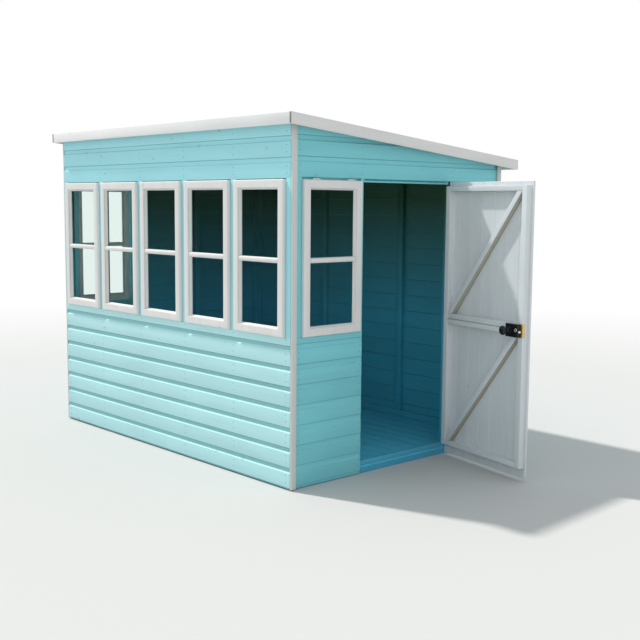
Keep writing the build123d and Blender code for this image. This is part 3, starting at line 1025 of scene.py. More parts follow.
def put_sash(name, node, corner, turn):
    """A copy of the sash in a node's place, from where its lower left corner comes."""
    place = Matrix.Translation(corner) @ Matrix.Rotation(turn, 4, "Z")
    finish(copy_of(sash, name, place), "shed", "cream_joinery", sash_paint, node)


for number in range(1, 6):
    put_sash(f"front_sash_{number}", f"front_window_{number}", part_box(f"front_window_{number}")[0], 0)
low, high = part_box("right_window")
put_sash("door_end_sash", "right_window", (high.x, low.y, low.z), QUARTER)
low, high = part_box("left_window")
put_sash("plain_end_sash", "left_window", (low.x, high.y, low.z), -QUARTER)
discard(sash)
print("seven sashes are in place")

# %% [markdown]
# ## Glass
#
# Horticultural glass is thin, flat and almost clear, a little green, and shines where it is seen
# aslant. A shader with transmission would keep the daylight out of the shed, because light does not
# pass through it as it passes through a real pane. A clear shader mixed with a mirror, more of it the
# more aslant the pane is seen, lets the light in and keeps the shine.

# %% Panes
def window_glass():
    """Clear glass that shines the more, the more aslant it is seen, with a little dust."""
    material, sheet, place = new_finish("window_glass")
    dust = sheet.noise(place, 9.0, 6.0)
    ripple = sheet.noise(place, 5.0, 1.0)
    aslant = sheet.add("ShaderNodeLayerWeight", {}, {"Blend": 0.5}, output="Facing")
    clear_part = sheet.add("ShaderNodeBsdfTransparent", {}, {"Color": (0.94, 0.972, 0.962, 1)})
    shine = sheet.add("ShaderNodeBsdfPrincipled", {}, {
        "Base Color": (0.80, 0.86, 0.85, 1),
        "Roughness": 0.03 + dust.between(0.45, 0.75) * 0.10,
        "Metallic": 1.0,
        "Normal": sheet.bump(ripple, 0.05, 0.002),
    })
    amount = 0.002 + aslant.math("POWER", aslant, 8.0) * 0.7 + dust.between(0.50, 0.85) * 0.004
    mixed = sheet.add("ShaderNodeMixShader", {}, {0: amount, 1: clear_part, 2: shine})
    sheet.add("ShaderNodeOutputMaterial", {}, {"Surface": mixed})
    return material


dress("window_panes", window_glass())
print("seven panes are glazed")

# %% [markdown]
# ## Floor and bearers
#
# The floor is tongued boards on sawn bearers, and the doorway shows the painted end of it as bands:
# threshold, floor edge and bearer. One slab with lines would do from above, but the joints also show
# at the edge, so one board is eased all round and repeated from front to back.

# %% Floor boards and bearers
FLOOR_COVER = 106 * MM
FLOOR_GAP = 0.8 * MM
FLOOR_EASE = 1.4 * MM
PAINTED_END = 30 * MM


def floor_boards():
    """The boards of the floor, one eased and repeated to the back."""
    low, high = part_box("floor_boards")
    count = round((high.y - low.y) / FLOOR_COVER)
    step = (high.y - low.y) / count
    board = block("floor", low, (high.x, low.y + step - FLOOR_GAP, high.z))
    ease(board, FLOOR_EASE, 2)
    return smooth(repeat(board, count, (0, step, 0)), TIMBER_CREASE)


def bearer_finish():
    """Green treated timber, painted over where the doorway shows the end bearer."""
    material, sheet, place = new_finish("bearer_timber")
    grain = sheet.grain(place, ALONG_Y, 0.25, 0.004, 6.0, Roughness=0.65, Distortion=0.4)
    stain = sheet.noise(place, 6.0, 3.0)
    wood = sheet.add("ShaderNodeValToRGB", {"stops": [
        (0.30, (0.115, 0.105, 0.050, 1)),
        (0.52, (0.225, 0.195, 0.095, 1)),
        (0.75, (0.330, 0.280, 0.150, 1)),
    ]}, {"Fac": grain * 0.75 + stain * 0.25})
    across = sheet.add("ShaderNodeSeparateXYZ", {}, {"Vector": place})
    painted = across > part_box("floor_bearers")[1].x - PAINTED_END
    coat = sheet.scaled(TEAL_THRESHOLD, 0.92 + (grain - 0.5) * 0.25)
    sheet.surface({
        "Base Color": sheet.blend(painted, wood, coat),
        "Roughness": 0.85 - painted * 0.3,
        "Specular IOR Level": 0.25,
        "Normal": sheet.bump(grain, 0.6, 0.001),
    })
    return material


finish(floor_boards(), "shed", "floor_paint", floor_paint, "floor_boards")
eased("bearers", "floor_bearers", "bearer_timber", bearer_finish())

# %% [markdown]
# ## The roof
#
# Over the purlins lie thin matched boards from front to back, whose V joints show from below at the
# eaves. Over the boards lies mineral felt in two widths, the upper one lapped over the lower so that
# rain runs across the joint, and held with galvanised clout nails. The boards are drawn in section
# along the slope, because a flat board that is turned would end square to the slope and not plumb
# behind the fascia.

# %% Roof timber and felt
ROOF_COVER = 94 * MM
ROOF_GAP = 0.6 * MM
ROOF_V = 2.5 * MM
GROWTH_RINGS = 9.0
FELT_NODE_THICKNESS = 3 * MM
FELT_THICKNESS = 2 * MM
FELT_LAP = 90 * MM
FELT_START = 12 * MM
FELT_EASE = 0.7 * MM
GRANULES_TO_A_METRE = 620.0


def bare_timber(name, turn):
    """Planed softwood without paint, as the underside of a roof is left."""
    material, sheet, place = new_finish(name)
    rings = sheet.grain(place, turn, 0.9, 0.013, 2.0, Distortion=1.2)
    bands = (rings.math("SINE", rings * GROWTH_RINGS) + 1.0) * 0.5
    fibres = sheet.grain(place, turn, 0.15, 0.0018, 4.0)
    wood = sheet.add("ShaderNodeValToRGB", {"stops": [
        (0.10, (0.34, 0.200, 0.090, 1)),
        (0.55, (0.50, 0.335, 0.175, 1)),
        (0.95, (0.60, 0.430, 0.245, 1)),
    ]}, {"Fac": bands * 0.55 + fibres * 0.45})
    sheet.surface({
        "Base Color": wood,
        "Roughness": 0.62 + (fibres - 0.5) * 0.2,
        "Normal": sheet.bump(fibres, 0.35, 0.0006),
    })
    return material


def felt_finish():
    """Green mineral felt: stone granules on bitumen, with paler drifts where they lie thicker."""
    material, sheet, place = new_finish("roof_felt")
    inputs = {"Vector": place, "Scale": GRANULES_TO_A_METRE}
    granules = sheet.add("ShaderNodeTexVoronoi", {}, inputs, output="Distance")
    hue = sheet.add("ShaderNodeSeparateColor", {}, {"Color": granules.other("Color")})
    drift = sheet.noise(place, 3.2, 5.0)
    stone = sheet.add("ShaderNodeValToRGB", {"stops": [
        (0.05, (0.030, 0.036, 0.032, 1)),
        (0.45, (0.085, 0.105, 0.090, 1)),
        (0.95, (0.190, 0.215, 0.190, 1)),
    ]}, {"Fac": hue * 0.62 + drift * 0.38})
    sheet.surface({
        "Base Color": sheet.scaled(stone, 0.85 + drift * 0.3),
        "Roughness": 0.88,
        "Specular IOR Level": 0.2,
        "Normal": sheet.bump((1.0 - granules) * 0.6 + hue * 0.4, 0.7, 0.0012),
    })
    return material


def sloped(name, node, y0, y1, lift, thickness):
    """The section of a sheet that lies on a sloping node's top face between two points."""
    low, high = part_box(node)

    def top(y):
        return high.z - ROOF_FALL * (y - low.y) + lift

    outline = [(low.x, y0, top(y0) - thickness), (low.x, y1, top(y1) - thickness)]
    outline += [(low.x, y1, top(y1)), (low.x, y0, top(y0))]
    return drawn(name, outline)


def roof_boards():
    """The boards under the felt, with a V below at each joint."""
    low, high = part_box("roof_boards")
    count = round((high.x - low.x) / ROOF_COVER)
    step = (high.x - low.x) / count
    board = pull(sloped("roof", "roof_boards", low.y, high.y, 0, BOARD), (step - ROOF_GAP, 0, 0))
    ease(board, ROOF_V, 1, lambda edge: is_lower_long_edge(edge, high.y - low.y))
    return repeat(board, count, (step, 0, 0))


def is_lower_long_edge(edge, length):
    """True for the edges that run down the slope on the underside of a board."""
    first, second = (vertex.co for vertex in edge.verts)
    middle = (first + second) / 2
    return abs(first.y - second.y) > length * 0.9 and middle.z < roof_line(middle.y) + BOARD / 2


def felt_sheets():
    """The upper width, its lap over the lower one, and the lower width."""
    low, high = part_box("roof_felt")
    middle = (low.y + high.y) / 2
    lift = FELT_THICKNESS - FELT_NODE_THICKNESS
    strips = (
        (low.y, middle, lift),
        (middle - FELT_START, middle + FELT_LAP, lift + FELT_THICKNESS),
        (middle, high.y, lift),
    )
    sheets = []
    for y0, y1, rise in strips:
        piece = sloped("felt", "roof_felt", y0, y1, rise, FELT_THICKNESS)
        sheets.append(ease(pull(piece, (high.x - low.x, 0, 0)), FELT_EASE, 1))
    return joined("felt", sheets)


finish(roof_boards(), "shed", "roof_timber", bare_timber("roof_timber", ALONG_Y), "roof_boards")
finish(felt_sheets(), "shed", "roof_felt", felt_finish(), "roof_felt")
eased("purlins", "roof_purlins", "roof_timber", bare_timber("purlin_timber", ALONG_X))

# %% [markdown]
# ## The door, made shut and then swung open
#
# The door is upright matched boards on a frame of two stiles, a top, a bottom and a double middle rail,
# with two braces that rise from the hinge side. It stands open in the photograph. Boards are easiest to
# lay out square to the axes, so the parts that are new are modelled with the door shut and then turned
# about the hinge pin, by the angle between the pose of rest and the shut limit of the joint.

# %% Hanging the door
hinge = frame["joints"][0]
PIN = Vector(hinge["pos_m"])
OPEN_ANGLE = -math.radians(hinge["range_deg"][0])
SWING = Matrix.Translation(PIN) @ Matrix.Rotation(OPEN_ANGLE, 4, "Z") @ Matrix.Translation(-PIN)


def shut_box(node):
    """Lowest and highest corner of a node of the door as it is when the door is shut."""
    back = SWING.inverted()
    places = [back @ vertex.co for vertex in nodes[node].data.vertices]
    low = Vector([min(place[axis] for place in places) for axis in range(3)])
    high = Vector([max(place[axis] for place in places) for axis in range(3)])
    return low, high


def hang(piece, slot, material, *stands_for):
    """Swings a piece that was made shut, and lets it ride on the door."""
    piece.data.transform(SWING)
    return finish(piece, "door", slot, material, *stands_for)


def turned(*turns):
    """Mapping angles for grain that is turned by one rotation after another."""
    total = Matrix.Identity(3)
    for angle, axis in turns:
        total = Matrix.Rotation(angle, 3, axis) @ total
    return tuple(total.to_euler())


print("door: open by", round(math.degrees(OPEN_ANGLE), 1), "degrees")

# %% Door boards
DOOR_BOARDS = 7
DOOR_V = 1.6 * MM
DOOR_GAP = 0.5 * MM


def door_boards():
    """The matched boards with the door shut, each with a V along its edges."""
    low, high = shut_box("door_boards")
    step = (high.y - low.y) / DOOR_BOARDS
    board = block("matched_boards", low, (high.x, low.y + step - DOOR_GAP, high.z))
    ease(board, DOOR_V, 1, lambda edge: abs(edge.verts[0].co.z - edge.verts[1].co.z) > 1)
    return repeat(board, DOOR_BOARDS, (0, step, 0))


ROOM_WARD = SWING.to_3x3() @ Vector((-1, 0, 0))
BOARDS_AT = ROOM_WARD.dot(SWING @ shut_box("door_boards")[0])


def door_paint(name, turn):
    """Cream paint for a piece of the door, with painted shade on what looks down."""
    return paint(name, CREAM_DOOR, turn, knots=0.3, underside=(CREAM_UNDERSIDE_SHADE, ROOM_WARD, BOARDS_AT))


door_upright = door_paint("door_boards", ALONG_Z)
door_level = door_paint("door_rails", turned((QUARTER, "Z"), (OPEN_ANGLE, "Z")))
hang(door_boards(), "door_paint", door_upright, "door_boards")
print("door boards:", DOOR_BOARDS)

# %% [markdown]
# The stiles, rails and braces are planed battens with a generous round on the arris. The frame already
# holds their solids with the door open, so the rails and braces are eased where they stand. One stile
# is cut away there for the lock's plate, which would break its round, so both stiles are made anew,
# whole and with the door shut, and the plate goes over the timber later.

# %% Door battens
BATTEN_EASE = 3 * MM
STILE_END_EASE = 5 * MM


def batten(name, node, material):
    """A node's battens as they stand, rounded on the side of the room."""
    piece = ease(timber(name, node), BATTEN_EASE, 3, faces_the_room)
    smooth(piece, TIMBER_CREASE)
    return finish(piece, "door", "door_paint", material, node)


def uprights():
    """The two stiles, made shut as whole timbers, because the lock plate goes over one afterwards."""
    pieces = []
    for low, high in solids("door_stiles", SWING.inverted()):
        stile = block("stile", low, high)
        ease(stile, BATTEN_EASE, 3, lambda edge: all(vertex.co.x < low.x + MM for vertex in edge.verts))
        ease(stile, STILE_END_EASE, 3, lambda edge: is_top_end(edge, low, high))
        pieces.append(stile)
    return smooth(joined("door_uprights", pieces), TIMBER_CREASE)


def is_top_end(edge, low, high):
    """True for the arrises across the top end of a stile, away from the boards."""
    middle = (edge.verts[0].co + edge.verts[1].co) / 2
    return middle.z > high.z - 0.1 * MM and low.x + MM < middle.x < high.x - MM


def faces_the_room(edge):
    """True for an arris on the side of the battens that faces the room when the door is shut."""
    back = SWING.inverted()
    room_side = shut_box("door_stiles")[0].x
    return all((back @ vertex.co).x < room_side + 0.5 * MM for vertex in edge.verts)


brace_low, brace_high = shut_box("door_braces")
one_brace = solids("door_braces")[0]
brace_rise = one_brace[1].z - one_brace[0].z
brace_run = brace_high.y - brace_low.y
brace_angle = math.atan2(brace_run, brace_rise)
brace_paint = door_paint("door_braces", turned((QUARTER, "Y"), (brace_angle, "X"), (OPEN_ANGLE, "Z")))
hang(uprights(), "door_paint", door_upright, "door_stiles")
batten("door_cross_rails", "door_rails", door_level)
batten("door_diagonals", "door_braces", brace_paint)
print("braces lean", round(math.degrees(brace_angle), 1), "degrees from upright")

# %% [markdown]
# ## Metalwork
#
# The ironmongery is small but it is what the eye goes to: a black japanned rim lock with round knobs, a
# brass plate on the edge of the door, and cranked strap hinges. Black japan is thick and glossy, brass
# is soft and takes fine scratches, and zinc plate is dull and blotched. One function makes all of them,
# because they differ only in colour, in how metallic they are and in how rough.

# %% Metal finishes
def metal(name, colour, rough, blotch, metallic=1.0, coat=0.0, specular=0.5):
    """A metal or its coating, by its colour, how rough it is, how blotched and how metallic."""
    material, sheet, place = new_finish(name)
    cloud = sheet.noise(place, 55.0, 5.0)
    scratches = sheet.grain(place, ALONG_Z, 0.03, 0.0007, 3.0)
    tone = 1.0 + (cloud - 0.5) * blotch + (scratches - 0.5) * blotch * 0.6
    sheet.surface({
        "Base Color": sheet.scaled(colour, tone),
        "Metallic": metallic,
        "Roughness": rough + (cloud - 0.5) * 0.18 + (scratches - 0.5) * 0.10,
        "Specular IOR Level": specular,
        "Coat Weight": coat,
        "Coat Roughness": 0.12,
        "Normal": sheet.bump(scratches * 0.5 + cloud, 0.15, 0.0003),
    })
    return material


black_japan = metal("black_japan", (0.009, 0.009, 0.011, 1), 0.26, 0.5, 0.0, 0.25, 0.22)
hinge_black = metal("hinge_black", (0.022, 0.022, 0.023, 1), 0.42, 0.5, 0.0, 0.2)
brass = metal("brass", (0.74, 0.53, 0.21, 1), 0.42, 0.35)
zinc = metal("zinc_plate", (0.56, 0.57, 0.57, 1), 0.38, 0.30)
bright = metal("worn_steel", (0.78, 0.78, 0.76, 1), 0.22, 0.2)
nail_finish = metal("nail_heads", (0.16, 0.27, 0.28, 1), 0.55, 0.6, 0.2)
dress("right_window_hinges", bright)
dress("door_hinge_straps", hinge_black)
dress("door_hinge_plates", hinge_black)
print("metal finishes are on")

# %% [markdown]
# Screws, bolts and nails are turned once each and copied into place. A slot makes the difference
# between a screw and a pimple, so it is cut out of the head, and each copy is given a turn of its own,
# because nobody lines up the slots of a shed.

# %% Screws and other heads
AIM_IN = Matrix.Rotation(-QUARTER, 4, "Y")
AIM_OUT = Matrix.Rotation(QUARTER, 4, "Y")
AIM_FREE = Matrix.Rotation(QUARTER, 4, "X")
AIM_BACK = Matrix.Rotation(-QUARTER, 4, "X")
SCREW_RADIUS = 3.6 * MM
SMALL_SCREW_RADIUS = 2.6 * MM
BOLT_RADIUS = 8 * MM
SUNK = 0.4 * MM
chance = random.Random(7)


def screw_head(radius):
    """A raised countersunk head with its slot, standing on the plane z = 0."""
    outline = [(0, -SUNK), (radius, -SUNK), (radius, 0.1 * MM), (radius * 0.82, radius * 0.24)]
    outline += [(radius * 0.45, radius * 0.38), (0, radius * 0.42)]
    head = lathe("screw", outline, 16)
    reach = radius * 0.9
    slot_low = (-reach, -radius * 0.13, radius * 0.12)
    return carve(head, block("slot", slot_low, (reach, radius * 0.13, radius)))


def bolt_head(radius):
    """The shallow dome of a coach bolt."""
    outline = [(0, 0), (radius, 0), (radius * 0.97, radius * 0.12), (radius * 0.75, radius * 0.33)]
    outline += [(radius * 0.4, radius * 0.46), (0, radius * 0.5)]
    return lathe("bolt", outline, 20)


def scatter(head, places, aim, name):
    """Copies of one head at a list of places, all facing one way and each with its own turn."""
    copies = []
    for place in places:
        turn = Matrix.Rotation(chance.uniform(0, math.tau), 4, "Z")
        copies.append(copy_of(head, name, Matrix.Translation(place) @ aim @ turn))
    return joined(name, copies)


def over_under(x, y, z, apart):
    """Two places on an upright line, as far below z as above it."""
    return [Vector((x, y, z + up * apart)) for up in (-1, 1)]


screw = screw_head(SCREW_RADIUS)
small_screw = screw_head(SMALL_SCREW_RADIUS)
bolt = bolt_head(BOLT_RADIUS)
print("a screw head has", len(screw.data.polygons), "faces")

# %% [markdown]
# ## Rim lock, knobs and brass
#
# A rim lock is a flat iron box screwed to the face of the door, with a thin cap on its front. The box
# is one eased block with a hair line round the cap. The knobs are turned, so their outline is drawn as
# pairs of radius and height and spun. The brass plate is bent round the corner of the stile, drawn as
# an L from above and pulled up.

# %% Lock
CASE_EASE = 2.5 * MM
CAP_MARGIN = 4 * MM
CAP_LINE = 0.8 * MM
PLATE_PROUD = 0.3 * MM
PLATE_THICKNESS = 2 * MM
CASE_SCREW_ACROSS = (-29 * MM, 20 * MM)
CASE_SCREW_UP = 24 * MM
PLATE_SCREW_UP = 29 * MM
PLATE_EASE = 0.5 * MM
KEYHOLE = Vector((0, 34 * MM, 4 * MM))
LATCH_SIZE = Vector((12 * MM, 8 * MM, 11 * MM))
LATCH_LIFT = -5 * MM
LATCH_ROOT = 4 * MM
LATCH_SLOPE = 5 * MM
LATCH_EASE = 0.6 * MM
DEAD_BOLT_SIZE = Vector((11, 8, 10)) * MM
DEAD_BOLT_LIFT = -21 * MM
DEAD_BOLT_DEPTH = 5 * MM
DEAD_BOLT_SHOWS = 1.5 * MM
DEAD_BOLT_EASE = 0.8 * MM

case_low, case_high = shut_box("door_lock")
plate_low, plate_high = shut_box("door_lock_faceplate")
knob_boxes = solids("door_knobs", SWING.inverted())
spindle = (knob_boxes[0][0] + knob_boxes[0][1]) / 2
skin_face = shut_box("door_boards")[1].x


def in_mm(outline):
    """An outline that is written in millimetres, in metres."""
    return [(radius * MM, height * MM) for radius, height in outline]


def lock_case():
    """The box of the lock, with a hair line round its cap and a keyhole of a round and a slot."""
    case = block("rim_lock", case_low, case_high)
    with editing(case):
        pick(case, "FACE", lambda face: face.normal.x < -0.9)
        bpy.ops.mesh.inset(thickness=CAP_MARGIN)
        bpy.ops.mesh.inset(thickness=CAP_LINE, depth=-CAP_LINE)
        bpy.ops.mesh.inset(thickness=CAP_LINE, depth=CAP_LINE)
    corner = case_low.x + 0.1 * MM
    ease(case, CASE_EASE, 3, lambda edge: is_outer_arris(edge, corner))
    hole = block("hole", keyhole(-1.4, -9, -8), keyhole(1.4, 9, 0))
    round_hole = at_keyhole(lathe("round", in_mm([(0, -9), (2.4, -9), (2.4, 9), (0, 9)]), 16))
    return smooth(carve(case, hole, round_hole))


def is_outer_arris(edge, corner):
    """True for the outer arrises of the lock's box on the side of the room."""
    on_rim = all(
        min(vertex.co.y - case_low.y, case_high.y - vertex.co.y) < 0.1 * MM
        or min(vertex.co.z - case_low.z, case_high.z - vertex.co.z) < 0.1 * MM
        for vertex in edge.verts
    )
    return on_rim and all(vertex.co.x < corner for vertex in edge.verts)


def keyhole(across, deep, up):
    """A point by its distances in millimetres from the keyhole, on the face of the lock."""
    free_edge = plate_low.y
    middle = Vector((case_low.x, free_edge + KEYHOLE.y, spindle.z + KEYHOLE.z))
    return middle + Vector((deep, across, up)) * MM


def at_keyhole(piece):
    """Turns a piece that stands on Z into the room and puts it at the keyhole."""
    piece.data.transform(Matrix.Translation(keyhole(0, 0, 0)) @ AIM_IN)
    return piece


def knobs():
    """Both knobs with their roses, one on the lock's face and one on the boards outside."""
    profile = [(0, 0), (24, 0), (24, 2), (22.6, 3.4), (14, 4.2), (11, 6.2), (8.6, 9), (7.4, 14)]
    profile += [(7.4, 22), (8.6, 27.6), (12.5, 31), (19, 32.8), (23.6, 35.6), (25.8, 39.4)]
    profile += [(25.8, 43.4), (23.6, 47.8), (19, 51), (12.5, 53.1), (6, 53.9), (0, 54)]
    knob = lathe("knob", in_mm(profile), 40)
    inside = Matrix.Translation((case_low.x, spindle.y, spindle.z)) @ AIM_IN
    outside = Matrix.Translation((skin_face, spindle.y, spindle.z)) @ AIM_OUT
    pair = [copy_of(knob, "knob_in", inside), copy_of(knob, "knob_out", outside)]
    discard(knob)
    return joined("knobs", pair)


def brass_plate():
    """The plate, bent round the corner of the stile."""
    x0, y0 = plate_low.x - PLATE_PROUD, plate_low.y - PLATE_PROUD
    x1, y1 = plate_high.x, plate_high.y
    z0 = plate_low.z
    inner = PLATE_THICKNESS + PLATE_PROUD
    outline = [(x0, y1, z0), (x0, y0, z0), (x1, y0, z0), (x1, y0 + inner, z0)]
    outline += [(x0 + inner, y0 + inner, z0), (x0 + inner, y1, z0)]
    plate = pull(drawn("brass_plate", outline), (0, 0, plate_high.z - z0))
    return smooth(ease(plate, PLATE_EASE))


def latch():
    """The spring latch, sloped on the side that meets the keep."""
    middle = Vector(((case_low.x + case_high.x) / 2, case_low.y, spindle.z + LATCH_LIFT))
    half = LATCH_SIZE / 2
    low = middle - Vector((half.x, LATCH_SIZE.y, half.z))
    piece = block("latch", low, middle + Vector((half.x, LATCH_ROOT, half.z)))
    ease(piece, LATCH_SLOPE, 1, lambda edge: is_latch_nose(edge, low))
    return smooth(ease(piece, LATCH_EASE))


def is_latch_nose(edge, low):
    """True for the upright arris of the latch that slides over the keep when the door is pulled to."""
    places = [vertex.co for vertex in edge.verts]
    return all(place.y < low.y + 0.1 * MM and place.x < low.x + 0.1 * MM for place in places)


def dead_bolt():
    """The square bolt under the latch, drawn back but for its end."""
    bottom = spindle.z + DEAD_BOLT_LIFT - DEAD_BOLT_SIZE.z / 2
    low = Vector((case_low.x + DEAD_BOLT_DEPTH, case_low.y - DEAD_BOLT_SHOWS, bottom))
    return smooth(ease(block("bolt", low, low + DEAD_BOLT_SIZE), DEAD_BOLT_EASE))


lock_screws = []
for across in CASE_SCREW_ACROSS:
    lock_screws += over_under(case_low.x, spindle.y + across, spindle.z, CASE_SCREW_UP)
cover_outline = [(5, 0), (11, 0), (11, 0.8), (9.6, 2.0), (7, 2.4), (5, 1.4), (5, 0)]
cover = at_keyhole(lathe("cover", in_mm(cover_outline), 24))
plate_middle = (plate_low + plate_high) / 2
plate_front = plate_low - Vector((PLATE_PROUD, PLATE_PROUD, 0))
face_screws = over_under(plate_front.x, plate_middle.y, spindle.z, PLATE_SCREW_UP)
edge_screws = over_under(plate_middle.x, plate_front.y, spindle.z, PLATE_SCREW_UP)
brass_heads = [scatter(small_screw, face_screws, AIM_IN, "plate_screws")]
brass_heads.append(scatter(small_screw, edge_screws, AIM_FREE, "edge_screws"))

hang(lock_case(), "lock_black", black_japan, "door_lock")
hang(knobs(), "lock_black", black_japan, "door_knobs")
hang(brass_plate(), "lock_brass", brass, "door_lock_faceplate")
hang(scatter(small_screw, lock_screws, AIM_IN, "lock_screws"), "lock_black", black_japan)
hang(joined("brass_screws", brass_heads), "lock_brass", brass)
hang(joined("latch_and_cover", [latch(), cover]), "hinge_steel", bright)
hang(dead_bolt(), "lock_black", black_japan)
print("the lock and its knobs are on the door")

# %% [markdown]
# The keep on the post is the other half of the lock: a box with two mouths for the latch and the bolt.
# The straps and their plates are already shaped in the frame and only want their fixings: two coach
# bolts and two screws to a strap, four screws to a plate.

# %% Keep and hinge fixings
KEEP_EASE = 2.5 * MM
MOUTH_DEPTH = 12 * MM
LEAF = 2.5 * MM
STRAP_SCREWS = (16 * MM, 80 * MM)
STRAP_BOLTS = (150 * MM, 232 * MM)
PLATE_SCREW_SPREAD = (10 * MM, 33 * MM)
HALF_PLATE = 20 * MM
KEEP_SCREW_UP = 29 * MM
MOUTHS = ((LATCH_LIFT, 7 * MM), (DEAD_BOLT_LIFT, 5 * MM))
MOUTH_FRAME = (5 * MM, 8 * MM)

keep_low, keep_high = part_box("door_keep")


def keep():
    """The box on the post, with a mouth for the latch and one for the bolt."""
    box = block("lock_keep", keep_low, keep_high)
    ease(box, KEEP_EASE, 3, lambda edge: all(vertex.co.x < keep_low.x + MM for vertex in edge.verts))
    mouths = []
    for lift, half in MOUTHS:
        middle = spindle.z + lift
        mouth_low = (keep_low.x + MOUTH_FRAME[0], keep_high.y - MOUTH_DEPTH, middle - half)
        mouth_high = (keep_high.x - MOUTH_FRAME[1], keep_high.y + MM, middle + half)
        mouths.append(block("mouth", mouth_low, mouth_high))
    return smooth(carve(box, *mouths))


def along_straps(distances):
    """Places on the outer face of each strap, by how far they are from its tip."""
    return [
        Vector((low.x + LEAF, low.y + along, (low.z + high.z) / 2))
        for low, high in solids("door_hinge_straps", SWING.inverted())
        for along in distances
    ]


strap_places = along_straps(STRAP_SCREWS)
bolt_places = along_straps(STRAP_BOLTS)
spread_across, spread_up = PLATE_SCREW_SPREAD
plate_places = []
for low, high in solids("door_hinge_plates"):
    for across in (-spread_across, spread_across):
        middle_y = high.y - HALF_PLATE + across
        plate_places += over_under(low.x + LEAF, middle_y, (low.z + high.z) / 2, spread_up)
keep_middle = (keep_low + keep_high) / 2
keep_places = over_under(keep_low.x, keep_middle.y, keep_middle.z, KEEP_SCREW_UP)

finish(keep(), "shed", "lock_black", black_japan, "door_keep")
finish(scatter(small_screw, keep_places, AIM_IN, "keep_screws"), "shed", "lock_black", black_japan)
strap_heads = scatter(screw, strap_places, AIM_OUT, "strap_screws")
bolt_heads = scatter(bolt, bolt_places, AIM_OUT, "strap_bolts")
hang(joined("strap_fixings", [strap_heads, bolt_heads]), "black_ironmongery", hinge_black)
plate_heads = scatter(screw, plate_places, AIM_OUT, "hinge_plate_screws")
finish(plate_heads, "shed", "black_ironmongery", hinge_black)
print("hinge fixings:", len(strap_places), "screws,", len(bolt_places), "bolts on the straps")

# %% [markdown]
# ## Nails
#
# Boards are nailed to every stud, two nails to a board, one above the lip and one below the hollow. The
# heads are the size of a lentil and painted over, but they line up with the studs behind, and that is
# what tells a boarded wall from a grooved sheet. Hammered by hand, no two are quite in line.

# %% Wall nails
NAIL_RADIUS = 2.8 * MM
NAIL_PROUD = 0.5 * MM
NAIL_SUNK = 0.5 * MM
NAIL_HEIGHTS = (26 * MM, 62 * MM)
NAIL_DRIFT = 2.5 * MM
EDGE_CLEAR = 8 * MM

nail_outline = [(0, -NAIL_SUNK), (NAIL_RADIUS, -NAIL_SUNK), (NAIL_RADIUS, NAIL_PROUD * 0.5)]
nail_outline += [(NAIL_RADIUS * 0.7, NAIL_PROUD), (0, NAIL_PROUD * 1.1)]
nail = lathe("nail", nail_outline, 10)


def nail_places(node, outwards, joint, columns):
    """Places on the face of one wall, board by board at each column, within the wall's outline."""
    low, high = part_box(node)
    face = high if outwards[0] + outwards[1] > 0 else low
    places = []
    first = math.floor((low.z - joint) / COVER + 0.01)
    last = math.ceil((high.z - joint) / COVER)
    for column in columns:
        for board in range(first, last):
            for height in NAIL_HEIGHTS:
                drift = chance.uniform(-NAIL_DRIFT, NAIL_DRIFT)
                z = joint + board * COVER + height + chance.uniform(-NAIL_DRIFT, NAIL_DRIFT)
                if outwards[0]:
                    place = Vector((face.x, column + drift, z))
                else:
                    place = Vector((column + drift, face.y, z))
                if low.z + EDGE_CLEAR < z < min(high.z, roof_line(place.y)) - EDGE_CLEAR:
                    places.append(place)
    return places


def columns_of(node, axis, start, stop, side=None):
    """The middles of what the boards between two points cover of the studs, at one end if asked."""
    middles = []
    for low, high in solids(node):
        first, last = max(low[axis], start), min(high[axis], stop)
        if last - first > EDGE_CLEAR and (side is None or low.x * side > 0):
            middles.append((first + last) / 2)
    return middles


def nailed(name, walls, outwards, joint, frame_node, aim, side=None):
    """The nails of all the boards of one side of the shed."""
    axis = 1 if outwards[0] else 0
    places = []
    for node in walls:
        low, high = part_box(node)
        columns = columns_of(frame_node, axis, low[axis], high[axis], side)
        places += nail_places(node, outwards, joint, columns)
    return finish(scatter(nail, places, aim, name), "shed", "wall_paint", nail_finish)


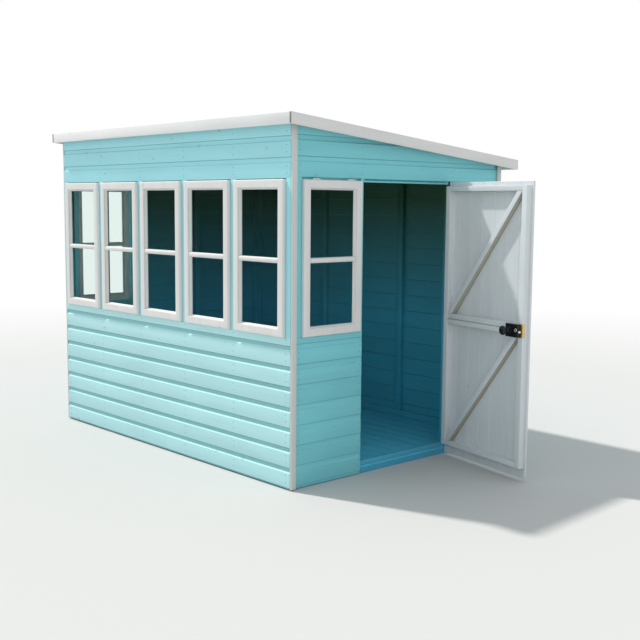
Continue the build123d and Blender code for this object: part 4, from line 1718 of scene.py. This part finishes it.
FRONT_WALLS = ("front_wall_lower", "front_wall_upper")
DOOR_END_WALLS = ("right_wall_lower", "right_wall_rear", "right_wall_upper")
PLAIN_END_WALLS = ("left_wall_lower", "left_wall_rear", "left_wall_upper")
nailed("front_nails", FRONT_WALLS, (0, -1), WALL_JOINT, "front_wall_studs", AIM_FREE)
nailed("back_nails", ("back_wall",), (0, 1), WALL_JOINT, "back_wall_studs", AIM_BACK)
nailed("door_end_nails", DOOR_END_WALLS, (1, 0), END_WALL_JOINT, "end_wall_studs", AIM_OUT, 1)
nailed("plain_end_nails", PLAIN_END_WALLS, (-1, 0), END_WALL_JOINT, "end_wall_studs", AIM_IN, -1)
print("wall nails are in")

# %% [markdown]
# Felt is held by broad galvanised clout nails, close together along the lap and round the edges, where
# the wind would lift it.

# %% Clout nails
CLOUT_RADIUS = 4.5 * MM
CLOUT_PITCH = 75 * MM
CLOUT_INSET = 14 * MM
CLOUT_DRIFT = 3 * MM


def evenly(start, stop, pitch):
    """Points from start to stop, about a pitch apart."""
    count = max(1, round((stop - start) / pitch))
    return [start + (stop - start) * step / count for step in range(count + 1)]


def felt_top(y):
    """Height of the top of one layer of felt."""
    return roof_line(y) + BOARD + FELT_THICKNESS


def clout_places():
    """Places along the eaves, the rear edge, the lap and both verges."""
    low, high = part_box("roof_felt")
    left, right = low.x + CLOUT_INSET, high.x - CLOUT_INSET
    front, rear = low.y + CLOUT_INSET, high.y - CLOUT_INSET
    lap = (low.y + high.y) / 2 + FELT_LAP - CLOUT_INSET
    places = []
    for x in evenly(left, right, CLOUT_PITCH):
        places.append(Vector((x, front, felt_top(front))))
        places.append(Vector((x, rear, felt_top(rear))))
        places.append(Vector((x, lap, felt_top(lap) + FELT_THICKNESS)))
    for y in evenly(front, rear, CLOUT_PITCH)[1:-1]:
        raised = FELT_THICKNESS if lap - FELT_LAP - FELT_START < y < lap + CLOUT_INSET else 0
        for x in (left, right):
            places.append(Vector((x, y, felt_top(y) + raised)))
    return [place + Vector((chance.uniform(-CLOUT_DRIFT, CLOUT_DRIFT), 0, 0)) for place in places]


clout = lathe("clout", [(0, 0), (CLOUT_RADIUS, 0), (CLOUT_RADIUS, 0.8 * MM), (0, 1.1 * MM)], 10)
slope_turn = Matrix.Rotation(-math.atan(ROOF_FALL), 4, "X")
finish(scatter(clout, clout_places(), slope_turn, "clout_nails"), "shed", "hinge_steel", zinc)
for pattern in (screw, small_screw, bolt, nail, clout):
    discard(pattern)
print("the felt is nailed down")
